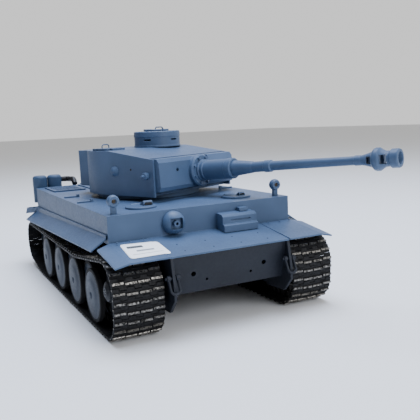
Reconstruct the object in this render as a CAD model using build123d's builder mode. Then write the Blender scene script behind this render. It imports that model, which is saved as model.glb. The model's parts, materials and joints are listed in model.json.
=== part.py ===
from build123d import *
import os
from math import asin, atan2, cos, degrees, hypot, pi, sin

# A 1:16 remote control model of a heavy tank of the early 1940s.
# Millimetres. The tank faces -Y, +X is its left side, +Z is up, and z = 0 is the ground
# under its tracks. The turret is made facing forward and exported turned to its rest angle.

# Running gear
TRACK_X = 88.2             # middle of each track from the centre line
TRACK_W = 45.3
PIN_PITCH = 8.125          # track pin spacing, 130 mm at full size
LINK_T = 2.0
GROUSER_H = 1.5
WHEEL_R = 25.0
TYRE_T = 3.1
WHEEL_W = 4.7
WHEEL_Z = GROUSER_H + LINK_T + WHEEL_R + 0.5
AXLE_STEP = 32.25
AXLE_FRONT_Y = -104.6
AXLE_COUNT = 8
ROW_OUT, ROW_MID, ROW_IN = 18.0, 11.4, 3.0   # wheel rows, from the middle of the track
SPROCKET_Y, SPROCKET_Z = -147.0, 42.0
SPROCKET_PITCH_R = 26.0
SPROCKET_TIP_R = 24.3
SPROCKET_ROOT_R = 21.3
SPROCKET_TEETH = 20
IDLER_Y, IDLER_Z, IDLER_R = 177.0, 34.0, 21.8
STUB_R, BORE_R = 1.95, 2.0
SLEEVE_R, BOSS_R = 4.0, 6.0
SLACK_Y, SLACK_R = -148.0, 24.0   # curve that the slack track hangs in under the sprocket

# Hull
HULL_HALF = 60.0           # lower hull between the tracks
PLATE_T = 2.5
FLOOR_Z = 29.4
SPONSON_Z = 77.5
DECK_Z = 103.0
DECK_HALF = 96.0
FRONT_Y = -124.5
REAR_Y = 190.5
NOSE_Y, NOSE_Z = -175.5, 70.5
SHAFT_R = 3.0

# Turret, in its own frame: axis at x = y = 0, facing -Y
TURRET_Y = 17.0
TURRET_REST = 24.4
TURRET_BASE_Z = 108.4
TURRET_TOP_Z = 155.3
TURRET_FRONT_Z = 146.0
TURRET_HALF = 64.2
TURRET_NOSE_Y = -70.0
TURRET_ARC_Y = 5.7
SHELL_T = 2.2
NECK_R = 55.0
GUN_REST = 3.6
TRUNNION_Y, TRUNNION_Z = -58.0, 129.1
CUPOLA_X, CUPOLA_Y, CUPOLA_R, CUPOLA_TOP_Z = 28.3, 10.0, 27.6, 173.5
BALL_X, BALL_Z, BALL_R = -33.5, 90.5, 11.0   # bow gun mount in the front plate

SIDES = ((1, "left"), (-1, "right"))

os.makedirs("parts", exist_ok=True)


def save(piece, name):
    """Label a finished piece and write it under its node's name."""
    piece.label = name
    export_step(piece, f"parts/{name}.step")


def join(pieces):
    """Several separate solids that share one node."""
    return Compound(children=[solid for piece in pieces for solid in piece.solids()])


def both_sides(piece):
    """The piece for the left side and its mirror image for the right."""
    return [piece, mirror(piece, about=Plane.YZ)]


# ---------------------------------------------------------------- lower hull
def side_profile(points):
    """A closed outline in the Y-Z plane."""
    with BuildLine() as line:
        Polyline(*points, close=True)
    return line.line


TUB = [(NOSE_Y + 1.5, NOSE_Z - 1), (-166, 34), (-150, FLOOR_Z), (178, FLOOR_Z), (190, 60),
       (190, SPONSON_Z), (FRONT_Y, SPONSON_Z), (FRONT_Y, SPONSON_Z - 0.5)]
TUB_INSIDE = [(NOSE_Y + 5, NOSE_Z), (-162.5, 36), (-148, FLOOR_Z + PLATE_T),
              (176, FLOOR_Z + PLATE_T), (187.5, 61), (187.5, SPONSON_Z + 1),
              (FRONT_Y, SPONSON_Z + 1)]
SIDE_PLATE = [(NOSE_Y - 1.5, NOSE_Z - 1), (-181.5, 46), (-181.5, 34), (-170, 21), (-142, 19.5),
              (-124, FLOOR_Z), (178, FLOOR_Z), (190, 60), (190, SPONSON_Z),
              (FRONT_Y, SPONSON_Z), (FRONT_Y, SPONSON_Z - 0.5)]
axle_ys = [AXLE_FRONT_Y + k * AXLE_STEP for k in range(AXLE_COUNT)]
ARM_BACK, ARM_RISE = 17.0, 8.0          # from the wheel axle to the arm's pivot
SHACKLE_X, SHACKLE_Y, SHACKLE_Z, SHACKLE_PIN_R = HULL_HALF - PLATE_T / 2, -177.5, 53.0, 1.2
SWITCH_X, SWITCH_Y = 30.0, 140.0
SCREW_POINTS = [(x * s, y) for x, y in ((30, -75), (42, 112), (42, 168)) for s in (1, -1)]
NOSE_HOLES = ((36.0, 51.3, 2.3), (22.5, 44.5, 1.3))   # x, z and radius, each side

with BuildPart() as lower_hull:
    with BuildSketch(Plane.YZ):
        make_face(side_profile(TUB))
    extrude(amount=HULL_HALF - PLATE_T, both=True)
    with BuildSketch(Plane.YZ):
        make_face(side_profile(TUB_INSIDE))
    extrude(amount=HULL_HALF, both=True, mode=Mode.SUBTRACT)
    with BuildSketch(Plane.YZ.offset(HULL_HALF - PLATE_T)):
        make_face(side_profile(SIDE_PLATE))
    extrude(amount=PLATE_T)
    with BuildSketch(Plane.YZ.offset(-HULL_HALF)):
        make_face(side_profile(SIDE_PLATE))
    extrude(amount=PLATE_T)
    # Sprocket shaft, idler axle and swing arm pivots go right through both side plates.
    with BuildSketch(Plane.YZ):
        with Locations((SPROCKET_Y, SPROCKET_Z)):
            Circle(SHAFT_R + 0.05)
        with Locations((IDLER_Y, IDLER_Z)):
            Circle(2.3)
        with Locations(*[(y + ARM_BACK, WHEEL_Z + ARM_RISE) for y in axle_ys]):
            Circle(2.3)
        with Locations((SHACKLE_Y, SHACKLE_Z)):
            Circle(SHACKLE_PIN_R + 0.05)
    extrude(amount=HULL_HALF + 1, both=True, mode=Mode.SUBTRACT)
    # Two pairs of holes in the nose plate, bored straight back.
    for hole_x, hole_z, hole_r in NOSE_HOLES:
        with BuildSketch(Plane.XZ.offset(150)):
            with Locations((hole_x, hole_z), (-hole_x, hole_z)):
                Circle(hole_r)
        extrude(amount=40, mode=Mode.SUBTRACT)
    # Opening for the power switch and the screw holes in the floor.
    with Locations((SWITCH_X, SWITCH_Y, FLOOR_Z)):
        Box(8, 14, 20, mode=Mode.SUBTRACT)
    with BuildSketch(Plane.XY.offset(FLOOR_Z - 1)):
        with Locations(*SCREW_POINTS):
            Circle(1.5)
    extrude(amount=6, mode=Mode.SUBTRACT)
save(lower_hull.part, "lower_hull")

# ---------------------------------------------------------------- upper hull
HATCH_X, HATCH_Y, HATCH_R = 52.5, -93.5, 15.0
GLACIS = [(FRONT_Y, SPONSON_Z), (FRONT_Y, SPONSON_Z + 1.6), (NOSE_Y - 1.5, NOSE_Z + 0.6),
          (NOSE_Y - 1.5, NOSE_Z - 0.9)]
ENGINE_Y0, ENGINE_Y1 = 112.0, 184.0
POST_Z, SCREW_R = 36.0, 1.2
GRILLE_X, GRILLE_W, GRILLE_L = 68.0, 40.0, 60.0
GRILLE_Y = 146.0

with BuildPart() as upper_hull:
    with BuildSketch(Plane.XY.offset(SPONSON_Z)):
        with Locations((0, (FRONT_Y + REAR_Y) / 2)):
            Rectangle(2 * DECK_HALF, REAR_Y - FRONT_Y)
    extrude(amount=DECK_Z - SPONSON_Z)
    with BuildSketch(Plane.XY.offset(SPONSON_Z + 2)):
        with Locations((0, (FRONT_Y + REAR_Y) / 2)):
            Rectangle(2 * (DECK_HALF - PLATE_T), REAR_Y - FRONT_Y - 2 * PLATE_T)
    extrude(amount=DECK_Z - SPONSON_Z - 4, mode=Mode.SUBTRACT)
    with BuildSketch(Plane.XY.offset(SPONSON_Z)):
        with Locations((0, (FRONT_Y + REAR_Y) / 2)):
            Rectangle(2 * (HULL_HALF - PLATE_T), REAR_Y - FRONT_Y - 2 * PLATE_T)
    extrude(amount=2, mode=Mode.SUBTRACT)
    with BuildSketch(Plane.YZ):
        make_face(side_profile(GLACIS))
    extrude(amount=HULL_HALF, both=True)
    with BuildSketch(Plane.XY.offset(DECK_Z - 3)):
        with Locations((0, TURRET_Y)):
            Circle(NECK_R + 0.6)
        with Locations((HATCH_X, HATCH_Y), (-HATCH_X, HATCH_Y)):
            Circle(HATCH_R - 1.5)
        with Locations((GRILLE_X, GRILLE_Y), (-GRILLE_X, GRILLE_Y)):
            Rectangle(GRILLE_W - 6, GRILLE_L - 6)
    extrude(amount=4, mode=Mode.SUBTRACT)
    # Screw posts under the deck.
    with BuildSketch(Plane.XY.offset(POST_Z)):
        with Locations(*SCREW_POINTS):
            Circle(4)
    extrude(amount=DECK_Z - 2 - POST_Z)
    with BuildSketch(Plane.XY.offset(POST_Z)):
        with Locations(*SCREW_POINTS):
            Circle(SCREW_R + 0.05)
    extrude(amount=14, mode=Mode.SUBTRACT)
    # Bow gun port.
    with BuildSketch(Plane.XZ.offset(-FRONT_Y - 3)):
        with Locations((BALL_X, BALL_Z)):
            Circle(6.0)
    extrude(amount=4, mode=Mode.SUBTRACT)
save(upper_hull.part, "upper_hull")

# ------------------------------------------------------- skirts and mudguards
SKIRT_Y0, SKIRT_Y1 = -122.0, 198.0
SKIRT_TOP_Z0, SKIRT_TOP_Z1 = 82.5, 70.5
SKIRT_DROP, SKIRT_OUT, SKIRT_T = 10.0, 15.5, 1.2


def skirt_section(top_z):
    """Hanging flange, then the sloping skirt, as a thin bent strip."""
    x0 = DECK_HALF + 0.1
    return [(x0, top_z + 2.6), (x0 + SKIRT_T, top_z + 2.6), (x0 + SKIRT_T, top_z + SKIRT_T),
            (x0 + SKIRT_OUT, top_z - SKIRT_DROP + SKIRT_T), (x0 + SKIRT_OUT, top_z - SKIRT_DROP),
            (x0, top_z)]


with BuildPart() as skirt:
    for y, top_z in ((SKIRT_Y0, SKIRT_TOP_Z0), (SKIRT_Y1, SKIRT_TOP_Z1)):
        with BuildSketch(Plane.XZ.offset(-y)):
            with BuildLine():
                Polyline(*skirt_section(top_z), close=True)
            make_face()
    loft(ruled=True)
save(join(both_sides(skirt.part)), "side_skirts")

MUD_X0, MUD_BEND, MUD_X1 = HULL_HALF + 0.3, 96.0, 108.5
with BuildPart() as front_guard:
    with BuildSketch(Plane.YZ.offset(MUD_X0)):
        with BuildLine():
            Polyline((-126.5, 77.6), (-126.5, 79.0), (-178.5, 71.6), (-178.5, 70.2), close=True)
        make_face()
    extrude(amount=MUD_BEND - MUD_X0)
    with BuildSketch(Plane.YZ.offset(MUD_BEND)):
        with BuildLine():
            Polyline((-126.5, 77.6), (-126.5, 79.0), (-178.5, 71.6), (-178.5, 70.2), close=True)
        make_face()
    with BuildSketch(Plane.YZ.offset(MUD_X1)):
        with BuildLine():
            Polyline((-130.5, 74.6), (-130.5, 76.0), (-178.5, 68.9), (-178.5, 67.5), close=True)
        make_face()
    loft(ruled=True)
with BuildPart() as rear_guard:
    with BuildSketch(Plane.YZ.offset(HULL_HALF + 1)):
        with BuildLine():
            Polyline((191.0, 77.0), (191.0, 78.5), (204, 76.5), (215, 68.5), (214, 67.3),
                     (203.5, 75), close=True)
        make_face()
    extrude(amount=MUD_X1 - HULL_HALF - 1)
save(join(both_sides(front_guard.part) + both_sides(rear_guard.part)), "mudguards")

# ------------------------------------------------------------- deck and front
with BuildPart() as engine_hatch:
    with BuildSketch(Plane.XY.offset(DECK_Z)):
        with Locations((0, (ENGINE_Y0 + ENGINE_Y1) / 2)):
            RectangleRounded(84, ENGINE_Y1 - ENGINE_Y0, 3)
    extrude(amount=1.4)
    with BuildSketch(Plane.XY.offset(DECK_Z + 1.4)):
        with Locations((-22, 128), (22, 128), (0, 165)):
            Circle(7)
    extrude(amount=3)
    chamfer(engine_hatch.faces().sort_by(Axis.Z)[-3:].edges(), 1)
save(engine_hatch.part, "engine_hatch")

with BuildPart() as grille:
    with BuildSketch(Plane.XY.offset(DECK_Z)):
        with Locations((GRILLE_X, GRILLE_Y)):
            RectangleRounded(GRILLE_W, GRILLE_L, 2)
    extrude(amount=1.6)
    with BuildSketch(Plane.XY.offset(DECK_Z)):
        with Locations((GRILLE_X, GRILLE_Y)):
            with GridLocations(0, 4.5, 1, 12):
                Rectangle(GRILLE_W - 8, 2.6)
    extrude(amount=1.6, mode=Mode.SUBTRACT)
save(join(both_sides(grille.part)), "intake_grilles")

with BuildPart() as bow_gun:
    with Locations((BALL_X, FRONT_Y - 1.0, BALL_Z)):
        Sphere(BALL_R)
    split(bisect_by=Plane.XZ.offset(-FRONT_Y), keep=Keep.TOP)
    with BuildSketch(Plane.XZ.offset(-FRONT_Y + 5.5)):
        with Locations((BALL_X, BALL_Z)):
            RectangleRounded(12.5, 10.5, 1.5)
    extrude(amount=10, mode=Mode.SUBTRACT)
    with BuildSketch(Plane.XZ.offset(-FRONT_Y + 5.5)):
        with Locations((BALL_X, BALL_Z)):
            Circle(2.9)
    extrude(amount=5)
    with BuildSketch(Plane.XZ.offset(-FRONT_Y + 6.5)):
        with Locations((BALL_X, BALL_Z)):
            Circle(1.3)
    extrude(amount=5, mode=Mode.SUBTRACT)
save(bow_gun.part, "bow_gun_ball")

VISOR_X0, VISOR_X1 = 12.0, 49.0
with BuildPart() as visor:
    with BuildSketch(Plane.YZ.offset(VISOR_X0)):
        with BuildLine():
            Polyline((FRONT_Y, 79.6), (-141, 77.3), (-141, 83.5), (-138, 85), (-138, 91.5),
                     (-136, 93.5), (FRONT_Y, 94.5), close=True)
        make_face()
    extrude(amount=VISOR_X1 - VISOR_X0)
    with Locations(((VISOR_X0 + VISOR_X1) / 2 + 1, -138, 88)):
        Box(22, 3, 1.4, mode=Mode.SUBTRACT)
    with Locations((VISOR_X1 - 10, -128, 96)):
        Box(9, 7, 3.6)
save(visor.part, "driver_visor")

LAMP_X, LAMP_Y, LAMP_Z, LAMP_R = 86.5, -115.0, 114.6, 5.8
with BuildPart() as headlamp:
    with Locations((LAMP_X, LAMP_Y, DECK_Z + 4)):
        Box(5, 3.2, 8)
    with Locations((LAMP_X, LAMP_Y, LAMP_Z)):
        Sphere(LAMP_R)
    with BuildSketch(Plane.XZ.offset(-LAMP_Y + 3.6)):
        with Locations((LAMP_X, LAMP_Z)):
            Circle(LAMP_R)
    extrude(amount=4, mode=Mode.SUBTRACT)
    with BuildSketch(Plane.XZ.offset(-LAMP_Y + 2.4)):
        with Locations((LAMP_X, LAMP_Z)):
            Circle(2.6)
    extrude(amount=2, mode=Mode.SUBTRACT)
save(join(both_sides(headlamp.part)), "headlamps")

CLAMP_YS = (-13.0, 44.0)
with BuildPart() as clamp:
    for clamp_y in CLAMP_YS:
        with BuildSketch(Plane.YZ.offset(76.5)):
            with Locations((clamp_y, DECK_Z + 0.9)):
                Circle(0.9)
        extrude(amount=16.5)
        with Locations((77.5, clamp_y, DECK_Z + 1.6)):
            Box(3, 3, 3.2)
save(join(both_sides(clamp.part)), "tool_clamps")


# ---------------------------------------------------------------- rear fittings
def upright(x, y, r, z0, z1, dome):
    """An upright can with a domed top."""
    with BuildPart() as can:
        with BuildSketch(Plane.XY.offset(z0)):
            with Locations((x, y)):
                Circle(r)
        extrude(amount=z1 - z0)
        fillet(can.faces().sort_by(Axis.Z)[-1].edges(), dome)
    return can.part


CAN_R, CAN_Y, CAN_XS = 9.6, REAR_Y + 9.9, (69.0, 88.6)
cans = []
for can_x in CAN_XS:
    cans += both_sides(upright(can_x, CAN_Y, CAN_R, 83, 119, 4))
with BuildPart() as hose:
    with BuildLine() as hose_path:
        FilletPolyline((CAN_XS[0] - CAN_R, CAN_Y, 112), (52, CAN_Y, 112), (46, 186, 112), (46, 180, DECK_Z + 3),
                       radius=4.5)
    with BuildSketch(Plane(origin=hose_path.line @ 0, z_dir=hose_path.line % 0)):
        Circle(3.6)
    sweep()
save(join(cans + both_sides(hose.part)), "air_cleaners")

with BuildPart() as exhaust:
    with BuildSketch(Plane.XY.offset(58)):
        with Locations((26, REAR_Y + 8.5)):
            Circle(8)
    extrude(amount=46)
    with BuildSketch(Plane.XY.offset(57)):
        with Locations((26, REAR_Y + 8.5)):
            Circle(5)
    extrude(amount=60)
    with BuildSketch(Plane.XY.offset(80)):
        with Locations((26, REAR_Y + 8.5)):
            Circle(3.8)
    extrude(amount=50, mode=Mode.SUBTRACT)
save(join(both_sides(exhaust.part)), "exhausts")

# ---------------------------------------------------------------- suspension
ARM_X0, ARM_X1 = HULL_HALF + 0.2, 65.4


def wheel_rows(k):
    """Odd axles carry the outer wheel and a close pair, even ones fill the rows between."""
    return (ROW_OUT, ROW_IN, -ROW_IN) if k % 2 == 0 else (ROW_MID, -ROW_MID, -ROW_OUT)


def swing_arm(y, z, pivot_y, pivot_z, reach):
    """Arm against the hull side, with its pivot stub inwards and its axle stub outwards."""
    with BuildPart() as arm:
        with BuildSketch(Plane.YZ.offset(ARM_X0)):
            for cy, cz, r in ((y, z, 4.0), (pivot_y, pivot_z, 5.0)):
                with Locations((cy, cz)):
                    Circle(r)
            make_hull()
        extrude(amount=ARM_X1 - ARM_X0)
        with BuildSketch(Plane.YZ.offset(ARM_X1)):
            with Locations((y, z)):
                Circle(STUB_R)
        extrude(amount=reach - ARM_X1)
        with BuildSketch(Plane.YZ.offset(ARM_X0)):
            with Locations((pivot_y, pivot_z)):
                Circle(2.2)
        extrude(amount=-6)
    return arm.part


arms = []
for k, axle_y in enumerate(axle_ys):
    reach = TRACK_X + max(wheel_rows(k)) + 1.5
    arms += both_sides(swing_arm(axle_y, WHEEL_Z, axle_y + ARM_BACK, WHEEL_Z + ARM_RISE, reach))
arms += both_sides(swing_arm(IDLER_Y, IDLER_Z, IDLER_Y, IDLER_Z, TRACK_X + ROW_IN + 1.5))
save(join(arms), "suspension_arms")


# ---------------------------------------------------------------- wheels
def wheel_set(y, z, rows, radius, tyre, side):
    """Wheels on one sleeve, which turns on a stub; separate tyres where there are any."""
    rim_r = radius - tyre
    x_in = TRACK_X + min(rows) - WHEEL_W / 2
    x_out = TRACK_X + max(rows) + WHEEL_W / 2
    with BuildPart() as sleeve:
        with BuildSketch(Plane.XZ):
            with Locations(((x_in + x_out) / 2, SLEEVE_R / 2)):
                Rectangle(x_out - x_in, SLEEVE_R)
            # Domed cap that closes the outer end of the bore.
            with BuildLine():
                Polyline((x_out, 0), (x_out, 6.6), (x_out + 0.7, 5.6), (x_out + 1.5, 3.2),
                         (x_out + 1.5, 0), close=True)
            make_face()
        revolve(axis=Axis.X)
        with BuildSketch(Plane.YZ.offset(x_in - 1)):
            Circle(BORE_R)
        extrude(amount=x_out - x_in + 0.4, mode=Mode.SUBTRACT)
    solids = [Pos(0, y, z) * sleeve.part]
    for row in rows:
        with BuildPart() as disc:
            with BuildSketch(Plane.XZ):
                with Locations((TRACK_X + row, rim_r - 1.2)):
                    Rectangle(WHEEL_W, 2.4)
                with Locations((TRACK_X + row, (SLEEVE_R + rim_r) / 2)):
                    Rectangle(1.8, rim_r - SLEEVE_R)
                with Locations((TRACK_X + row, (SLEEVE_R + BOSS_R) / 2)):
                    Rectangle(WHEEL_W, BOSS_R - SLEEVE_R)
            revolve(axis=Axis.X)
        solids.append(Pos(0, y, z) * disc.part)
    for row in rows if tyre else ():
        with BuildPart() as ring:
            with BuildSketch(Plane.YZ.offset(TRACK_X + row - WHEEL_W / 2)):
                Circle(radius)
                Circle(rim_r, mode=Mode.SUBTRACT)
            extrude(amount=WHEEL_W)
            chamfer(ring.edges().filter_by(GeomType.CIRCLE).group_by(SortBy.RADIUS)[-1], 0.5)
        solids.append(Pos(0, y, z) * ring.part)
    if side < 0:
        solids = [mirror(solid, about=Plane.YZ) for solid in solids]
    return join(solids)


for side, side_name in SIDES:
    for k, axle_y in enumerate(axle_ys):
        save(wheel_set(axle_y, WHEEL_Z, wheel_rows(k), WHEEL_R, TYRE_T, side),
             f"road_wheel_{side_name}_{k + 1}")
    save(wheel_set(IDLER_Y, IDLER_Z, (ROW_IN, -ROW_IN), IDLER_R, 0, side), f"idler_{side_name}")


# ---------------------------------------------------------------- gears
def toothed_disc(teeth, root_r, tip_r, base_w, tip_w, turn=0.0):
    """Plane outline of a gear or sprocket: a disc with straight-sided teeth."""
    with BuildSketch() as outline:
        Circle(root_r)
        with PolarLocations(0, teeth, start_angle=turn):
            with BuildLine():
                Polyline((root_r - 0.6, -base_w / 2), (tip_r, -tip_w / 2), (tip_r, tip_w / 2),
                         (root_r - 0.6, base_w / 2), close=True)
            make_face()
    return outline.sketch


GEAR_TEETH, PINION_TEETH, MODULE = 18, 10, 1.0
GEAR_X, GEAR_T = 44.0, 4.0
SHAFT_END_X = 36.5
MESH_EXTRA = 0.35
PINION_Y = SPROCKET_Y + (GEAR_TEETH + PINION_TEETH) * MODULE / 2 + MESH_EXTRA


def spur(teeth, turn=0.0):
    """Straight spur gear outline of the drive's module, with easy backlash."""
    r = teeth * MODULE / 2
    return toothed_disc(teeth, r - 1.2 * MODULE, r + 0.75 * MODULE, 1.75 * MODULE,
                        0.7 * MODULE, turn)


tooth_ring = toothed_disc(SPROCKET_TEETH, SPROCKET_ROOT_R, SPROCKET_TIP_R, 3.6, 1.4)
gear_outline = spur(GEAR_TEETH)
pinion_outline = spur(PINION_TEETH, turn=180 / PINION_TEETH)
with BuildPart() as sprocket:
    with BuildSketch(Plane.YZ.offset(TRACK_X + ROW_MID - 1.2)):
        add(tooth_ring)
    extrude(amount=2.4)
    with BuildSketch(Plane.YZ.offset(TRACK_X - ROW_MID - 1.2)):
        add(tooth_ring)
    extrude(amount=2.4)
    with BuildSketch(Plane.YZ.offset(TRACK_X + ROW_MID - 1.2)):
        with PolarLocations(15.5, 10):
            Circle(2.6)
    extrude(amount=2.4, mode=Mode.SUBTRACT)
    with BuildSketch(Plane.YZ.offset(TRACK_X - ROW_MID)):
        Circle(10.5)
    extrude(amount=2 * ROW_MID)
    # Domed hub cap outside the outer ring.
    with BuildSketch(Plane.XZ):
        with BuildLine():
            x = TRACK_X + ROW_MID + 1
            Polyline((x, 0), (x, 12), (x + 2.6, 10.5), (x + 6.5, 8.5), (x + 8.5, 4.5),
                     (x + 8.5, 0), close=True)
        make_face()
    revolve(axis=Axis.X)
    # Splined shaft through the hull side into the gearbox.
    with BuildSketch(Plane.YZ.offset(SHAFT_END_X)):
        Circle(SHAFT_R)
    extrude(amount=TRACK_X - ROW_MID - SHAFT_END_X)
with BuildPart() as drive_gear:
    with BuildSketch(Plane.YZ.offset(GEAR_X)):
        add(gear_outline)
        Circle(SHAFT_R, mode=Mode.SUBTRACT)
    extrude(amount=GEAR_T)
with BuildPart() as pinion:
    with BuildSketch(Plane.YZ.offset(GEAR_X - 0.5)):
        add(pinion_outline)
    extrude(amount=GEAR_T + 1)
    with BuildSketch(Plane.YZ.offset(28)):
        Circle(1.5)
    extrude(amount=24)
sprocket_place = Pos(0, SPROCKET_Y, SPROCKET_Z)
pinion_place = Pos(0, PINION_Y, SPROCKET_Z)
sprocket_solids = [sprocket_place * sprocket.part, sprocket_place * drive_gear.part]
for side, side_name in SIDES:
    flip = side < 0
    save(join([mirror(s, about=Plane.YZ) if flip else s for s in sprocket_solids]),
         f"sprocket_{side_name}")
    shaft = pinion_place * pinion.part
    save(join([mirror(shaft, about=Plane.YZ) if flip else shaft]), f"motor_pinion_{side_name}")

with BuildPart() as gearbox:
    # Two cheek plates joined by pillars, with bearings for both shafts.
    for plate_x in (36.0, 52.5):
        with BuildSketch(Plane.YZ.offset(plate_x)):
            with Locations((SPROCKET_Y + 16, SPROCKET_Z + 6.5)):
                RectangleRounded(48, 29, 4)
            with Locations((SPROCKET_Y, SPROCKET_Z)):
                Circle(SHAFT_R + 0.05, mode=Mode.SUBTRACT)
            with Locations((PINION_Y, SPROCKET_Z)):
                Circle(1.55, mode=Mode.SUBTRACT)
        extrude(amount=2)
    with BuildSketch(Plane.YZ.offset(38)):
        with Locations((-111, 38), (-111, 59), (-133, 60), (-152, 60.5)):
            Circle(2.2)
    extrude(amount=14.5)
with BuildPart() as drive_motor:
    with BuildSketch(Plane.YZ.offset(4)):
        with Locations((PINION_Y, SPROCKET_Z)):
            Circle(10)
    extrude(amount=23.5)
    with BuildSketch(Plane.YZ.offset(27.5)):
        with Locations((PINION_Y, SPROCKET_Z)):
            Circle(4)
            Circle(1.6, mode=Mode.SUBTRACT)
    extrude(amount=8)
save(join(both_sides(gearbox.part) + both_sides(drive_motor.part)), "gearboxes")

# ---------------------------------------------------------------- tracks
# Pin line of a track: a closed belt round circles, each with its centre, and a radius that is
# negative where the belt hangs below the circle instead of going round it.
WRAP_R = WHEEL_R + LINK_T / 2 + 0.7
GROUND_PIN_Z = GROUSER_H + LINK_T / 2
BELT = [(SLACK_Y, GROUND_PIN_Z + SLACK_R, SLACK_R), (axle_ys[-1], GROUND_PIN_Z + WRAP_R, WRAP_R),
        (IDLER_Y, IDLER_Z, IDLER_R + 1.8), (-45.0, 55.9 + 140, -140.0),
        (SPROCKET_Y, SPROCKET_Z, SPROCKET_PITCH_R)]


def belt_runs(circles):
    """The straight run from each circle to the next, as its two tangent points."""
    runs = []
    for (y1, z1, r1), (y2, z2, r2) in zip(circles, circles[1:] + circles[:1]):
        gap = hypot(y2 - y1, z2 - z1)
        turn = atan2(z2 - z1, y2 - y1) - pi / 2 + asin((r1 - r2) / gap)
        ny, nz = cos(turn), sin(turn)
        runs.append(((y1 + r1 * ny, z1 + r1 * nz), (y2 + r2 * ny, z2 + r2 * nz), turn))
    return runs


def belt_pieces(circles):
    """Runs and the arcs between them, in order, with their lengths."""
    runs, pieces = belt_runs(circles), []
    for i, (start, end, turn) in enumerate(runs):
        pieces.append((hypot(end[0] - start[0], end[1] - start[1]), "run", start, end))
        cy, cz, r = circles[(i + 1) % len(circles)]
        sweep_angle = (runs[(i + 1) % len(runs)][2] - turn + pi) % (2 * pi) - pi
        pieces.append((abs(r * sweep_angle), "arc", (cy, cz, r), (turn, sweep_angle)))
    return pieces


def point_on(pieces, distance):
    """The point at a distance along the belt."""
    for length, kind, a, b in pieces:
        if distance <= length:
            t = distance / length
            if kind == "run":
                return a[0] + t * (b[0] - a[0]), a[1] + t * (b[1] - a[1])
            angle = b[0] + t * b[1]
            return a[0] + a[2] * cos(angle), a[1] + a[2] * sin(angle)
        distance -= length
    return point_on(pieces, distance)


pieces = belt_pieces(BELT)
belt_length = sum(piece[0] for piece in pieces)
link_count = round(belt_length / PIN_PITCH)
pins = [point_on(pieces, i * belt_length / link_count) for i in range(link_count)]
print("track links", link_count, "belt length", round(belt_length, 1))

# One link in its own frame: X across the track, Y along the pins' line, Z outwards.
HORN_X, HORN_W, HORN_H = 7.2, 2.4, 5.0
KNUCKLES = 7
with BuildPart() as link:
    with BuildSketch(Plane.YZ):
        SlotCenterToCenter(PIN_PITCH, LINK_T)
    extrude(amount=TRACK_W / 2, both=True)
    # Interleaved knuckles: gaps on one end face fingers on the next link's other end.
    finger = TRACK_W / KNUCKLES
    notch = LINK_T / 2 + 0.35
    for i in range(KNUCKLES):
        end = 1 if i % 2 else -1
        with Locations(((i - (KNUCKLES - 1) / 2) * finger, end * (PIN_PITCH / 2 + 2 - notch / 2), 0)):
            Box(finger + 0.3, 4 + notch, LINK_T + 1, mode=Mode.SUBTRACT)
    with Locations((ROW_MID, 0, 0), (-ROW_MID, 0, 0)):
        Box(4.2, 3.4, LINK_T + 1, mode=Mode.SUBTRACT)
    with Locations((0, 0, LINK_T / 2 + GROUSER_H / 2)):
        Box(TRACK_W - 1.2, 2.0, GROUSER_H)
    with Locations((ROW_MID, 0, 2), (0, 0, 2), (-ROW_MID, 0, 2)):
        Box(1.3, 4, 2, mode=Mode.SUBTRACT)
    for x in (HORN_X, -HORN_X):
        with BuildSketch(Plane.YZ.offset(x - HORN_W / 2)):
            with BuildLine():
                Polyline((-2.2, -0.9), (2.2, -0.9), (1.0, -1 - HORN_H), (-1.0, -1 - HORN_H),
                         close=True)
            make_face()
        extrude(amount=HORN_W)

for side, side_name in SIDES:
    links = []
    for (y1, z1), (y2, z2) in zip(pins, pins[1:] + pins[:1]):
        # Along the travel direction the belt's inside is on the left, so outwards is right.
        along = atan2(z2 - z1, y2 - y1)
        place = Plane(origin=(side * TRACK_X, (y1 + y2) / 2, (z1 + z2) / 2),
                      x_dir=(-1, 0, 0), z_dir=(0, sin(along), -cos(along)))
        links.append(place.location * link.part)
    save(join(links), f"track_{side_name}")

# ---------------------------------------------------------------- shackles
SHACKLE_ARM, SHACKLE_BOW_R, SHACKLE_WIRE_R, SHACKLE_EYE_W = 10.0, 4.2, 1.2, 3.0
SHACKLE_LEAN = 25.0
with BuildPart() as shackle:
    with BuildLine() as bow:
        Line((-SHACKLE_BOW_R, 0, -1.5), (-SHACKLE_BOW_R, 0, -SHACKLE_ARM))
        ThreePointArc((-SHACKLE_BOW_R, 0, -SHACKLE_ARM), (0, 0, -SHACKLE_ARM - SHACKLE_BOW_R),
                      (SHACKLE_BOW_R, 0, -SHACKLE_ARM))
        Line((SHACKLE_BOW_R, 0, -SHACKLE_ARM), (SHACKLE_BOW_R, 0, -1.5))
    with BuildSketch(Plane((-SHACKLE_BOW_R, 0, -1.5), z_dir=(0, 0, -1))):
        Circle(SHACKLE_WIRE_R)
    sweep()
    for eye_x in (-SHACKLE_BOW_R, SHACKLE_BOW_R):
        with BuildSketch(Plane.YZ.offset(eye_x - SHACKLE_EYE_W / 2)):
            Circle(2.4)
        extrude(amount=SHACKLE_EYE_W)
    with BuildSketch(Plane.YZ.offset(-SHACKLE_BOW_R - SHACKLE_EYE_W)):
        Circle(SHACKLE_PIN_R)
    extrude(amount=2 * (SHACKLE_BOW_R + SHACKLE_EYE_W))
shackle_left = Pos(SHACKLE_X, SHACKLE_Y, SHACKLE_Z) * Rot(-SHACKLE_LEAN, 0, 0) * shackle.part
save(shackle_left, "tow_shackle_left")
save(mirror(shackle_left, about=Plane.YZ), "tow_shackle_right")


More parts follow.
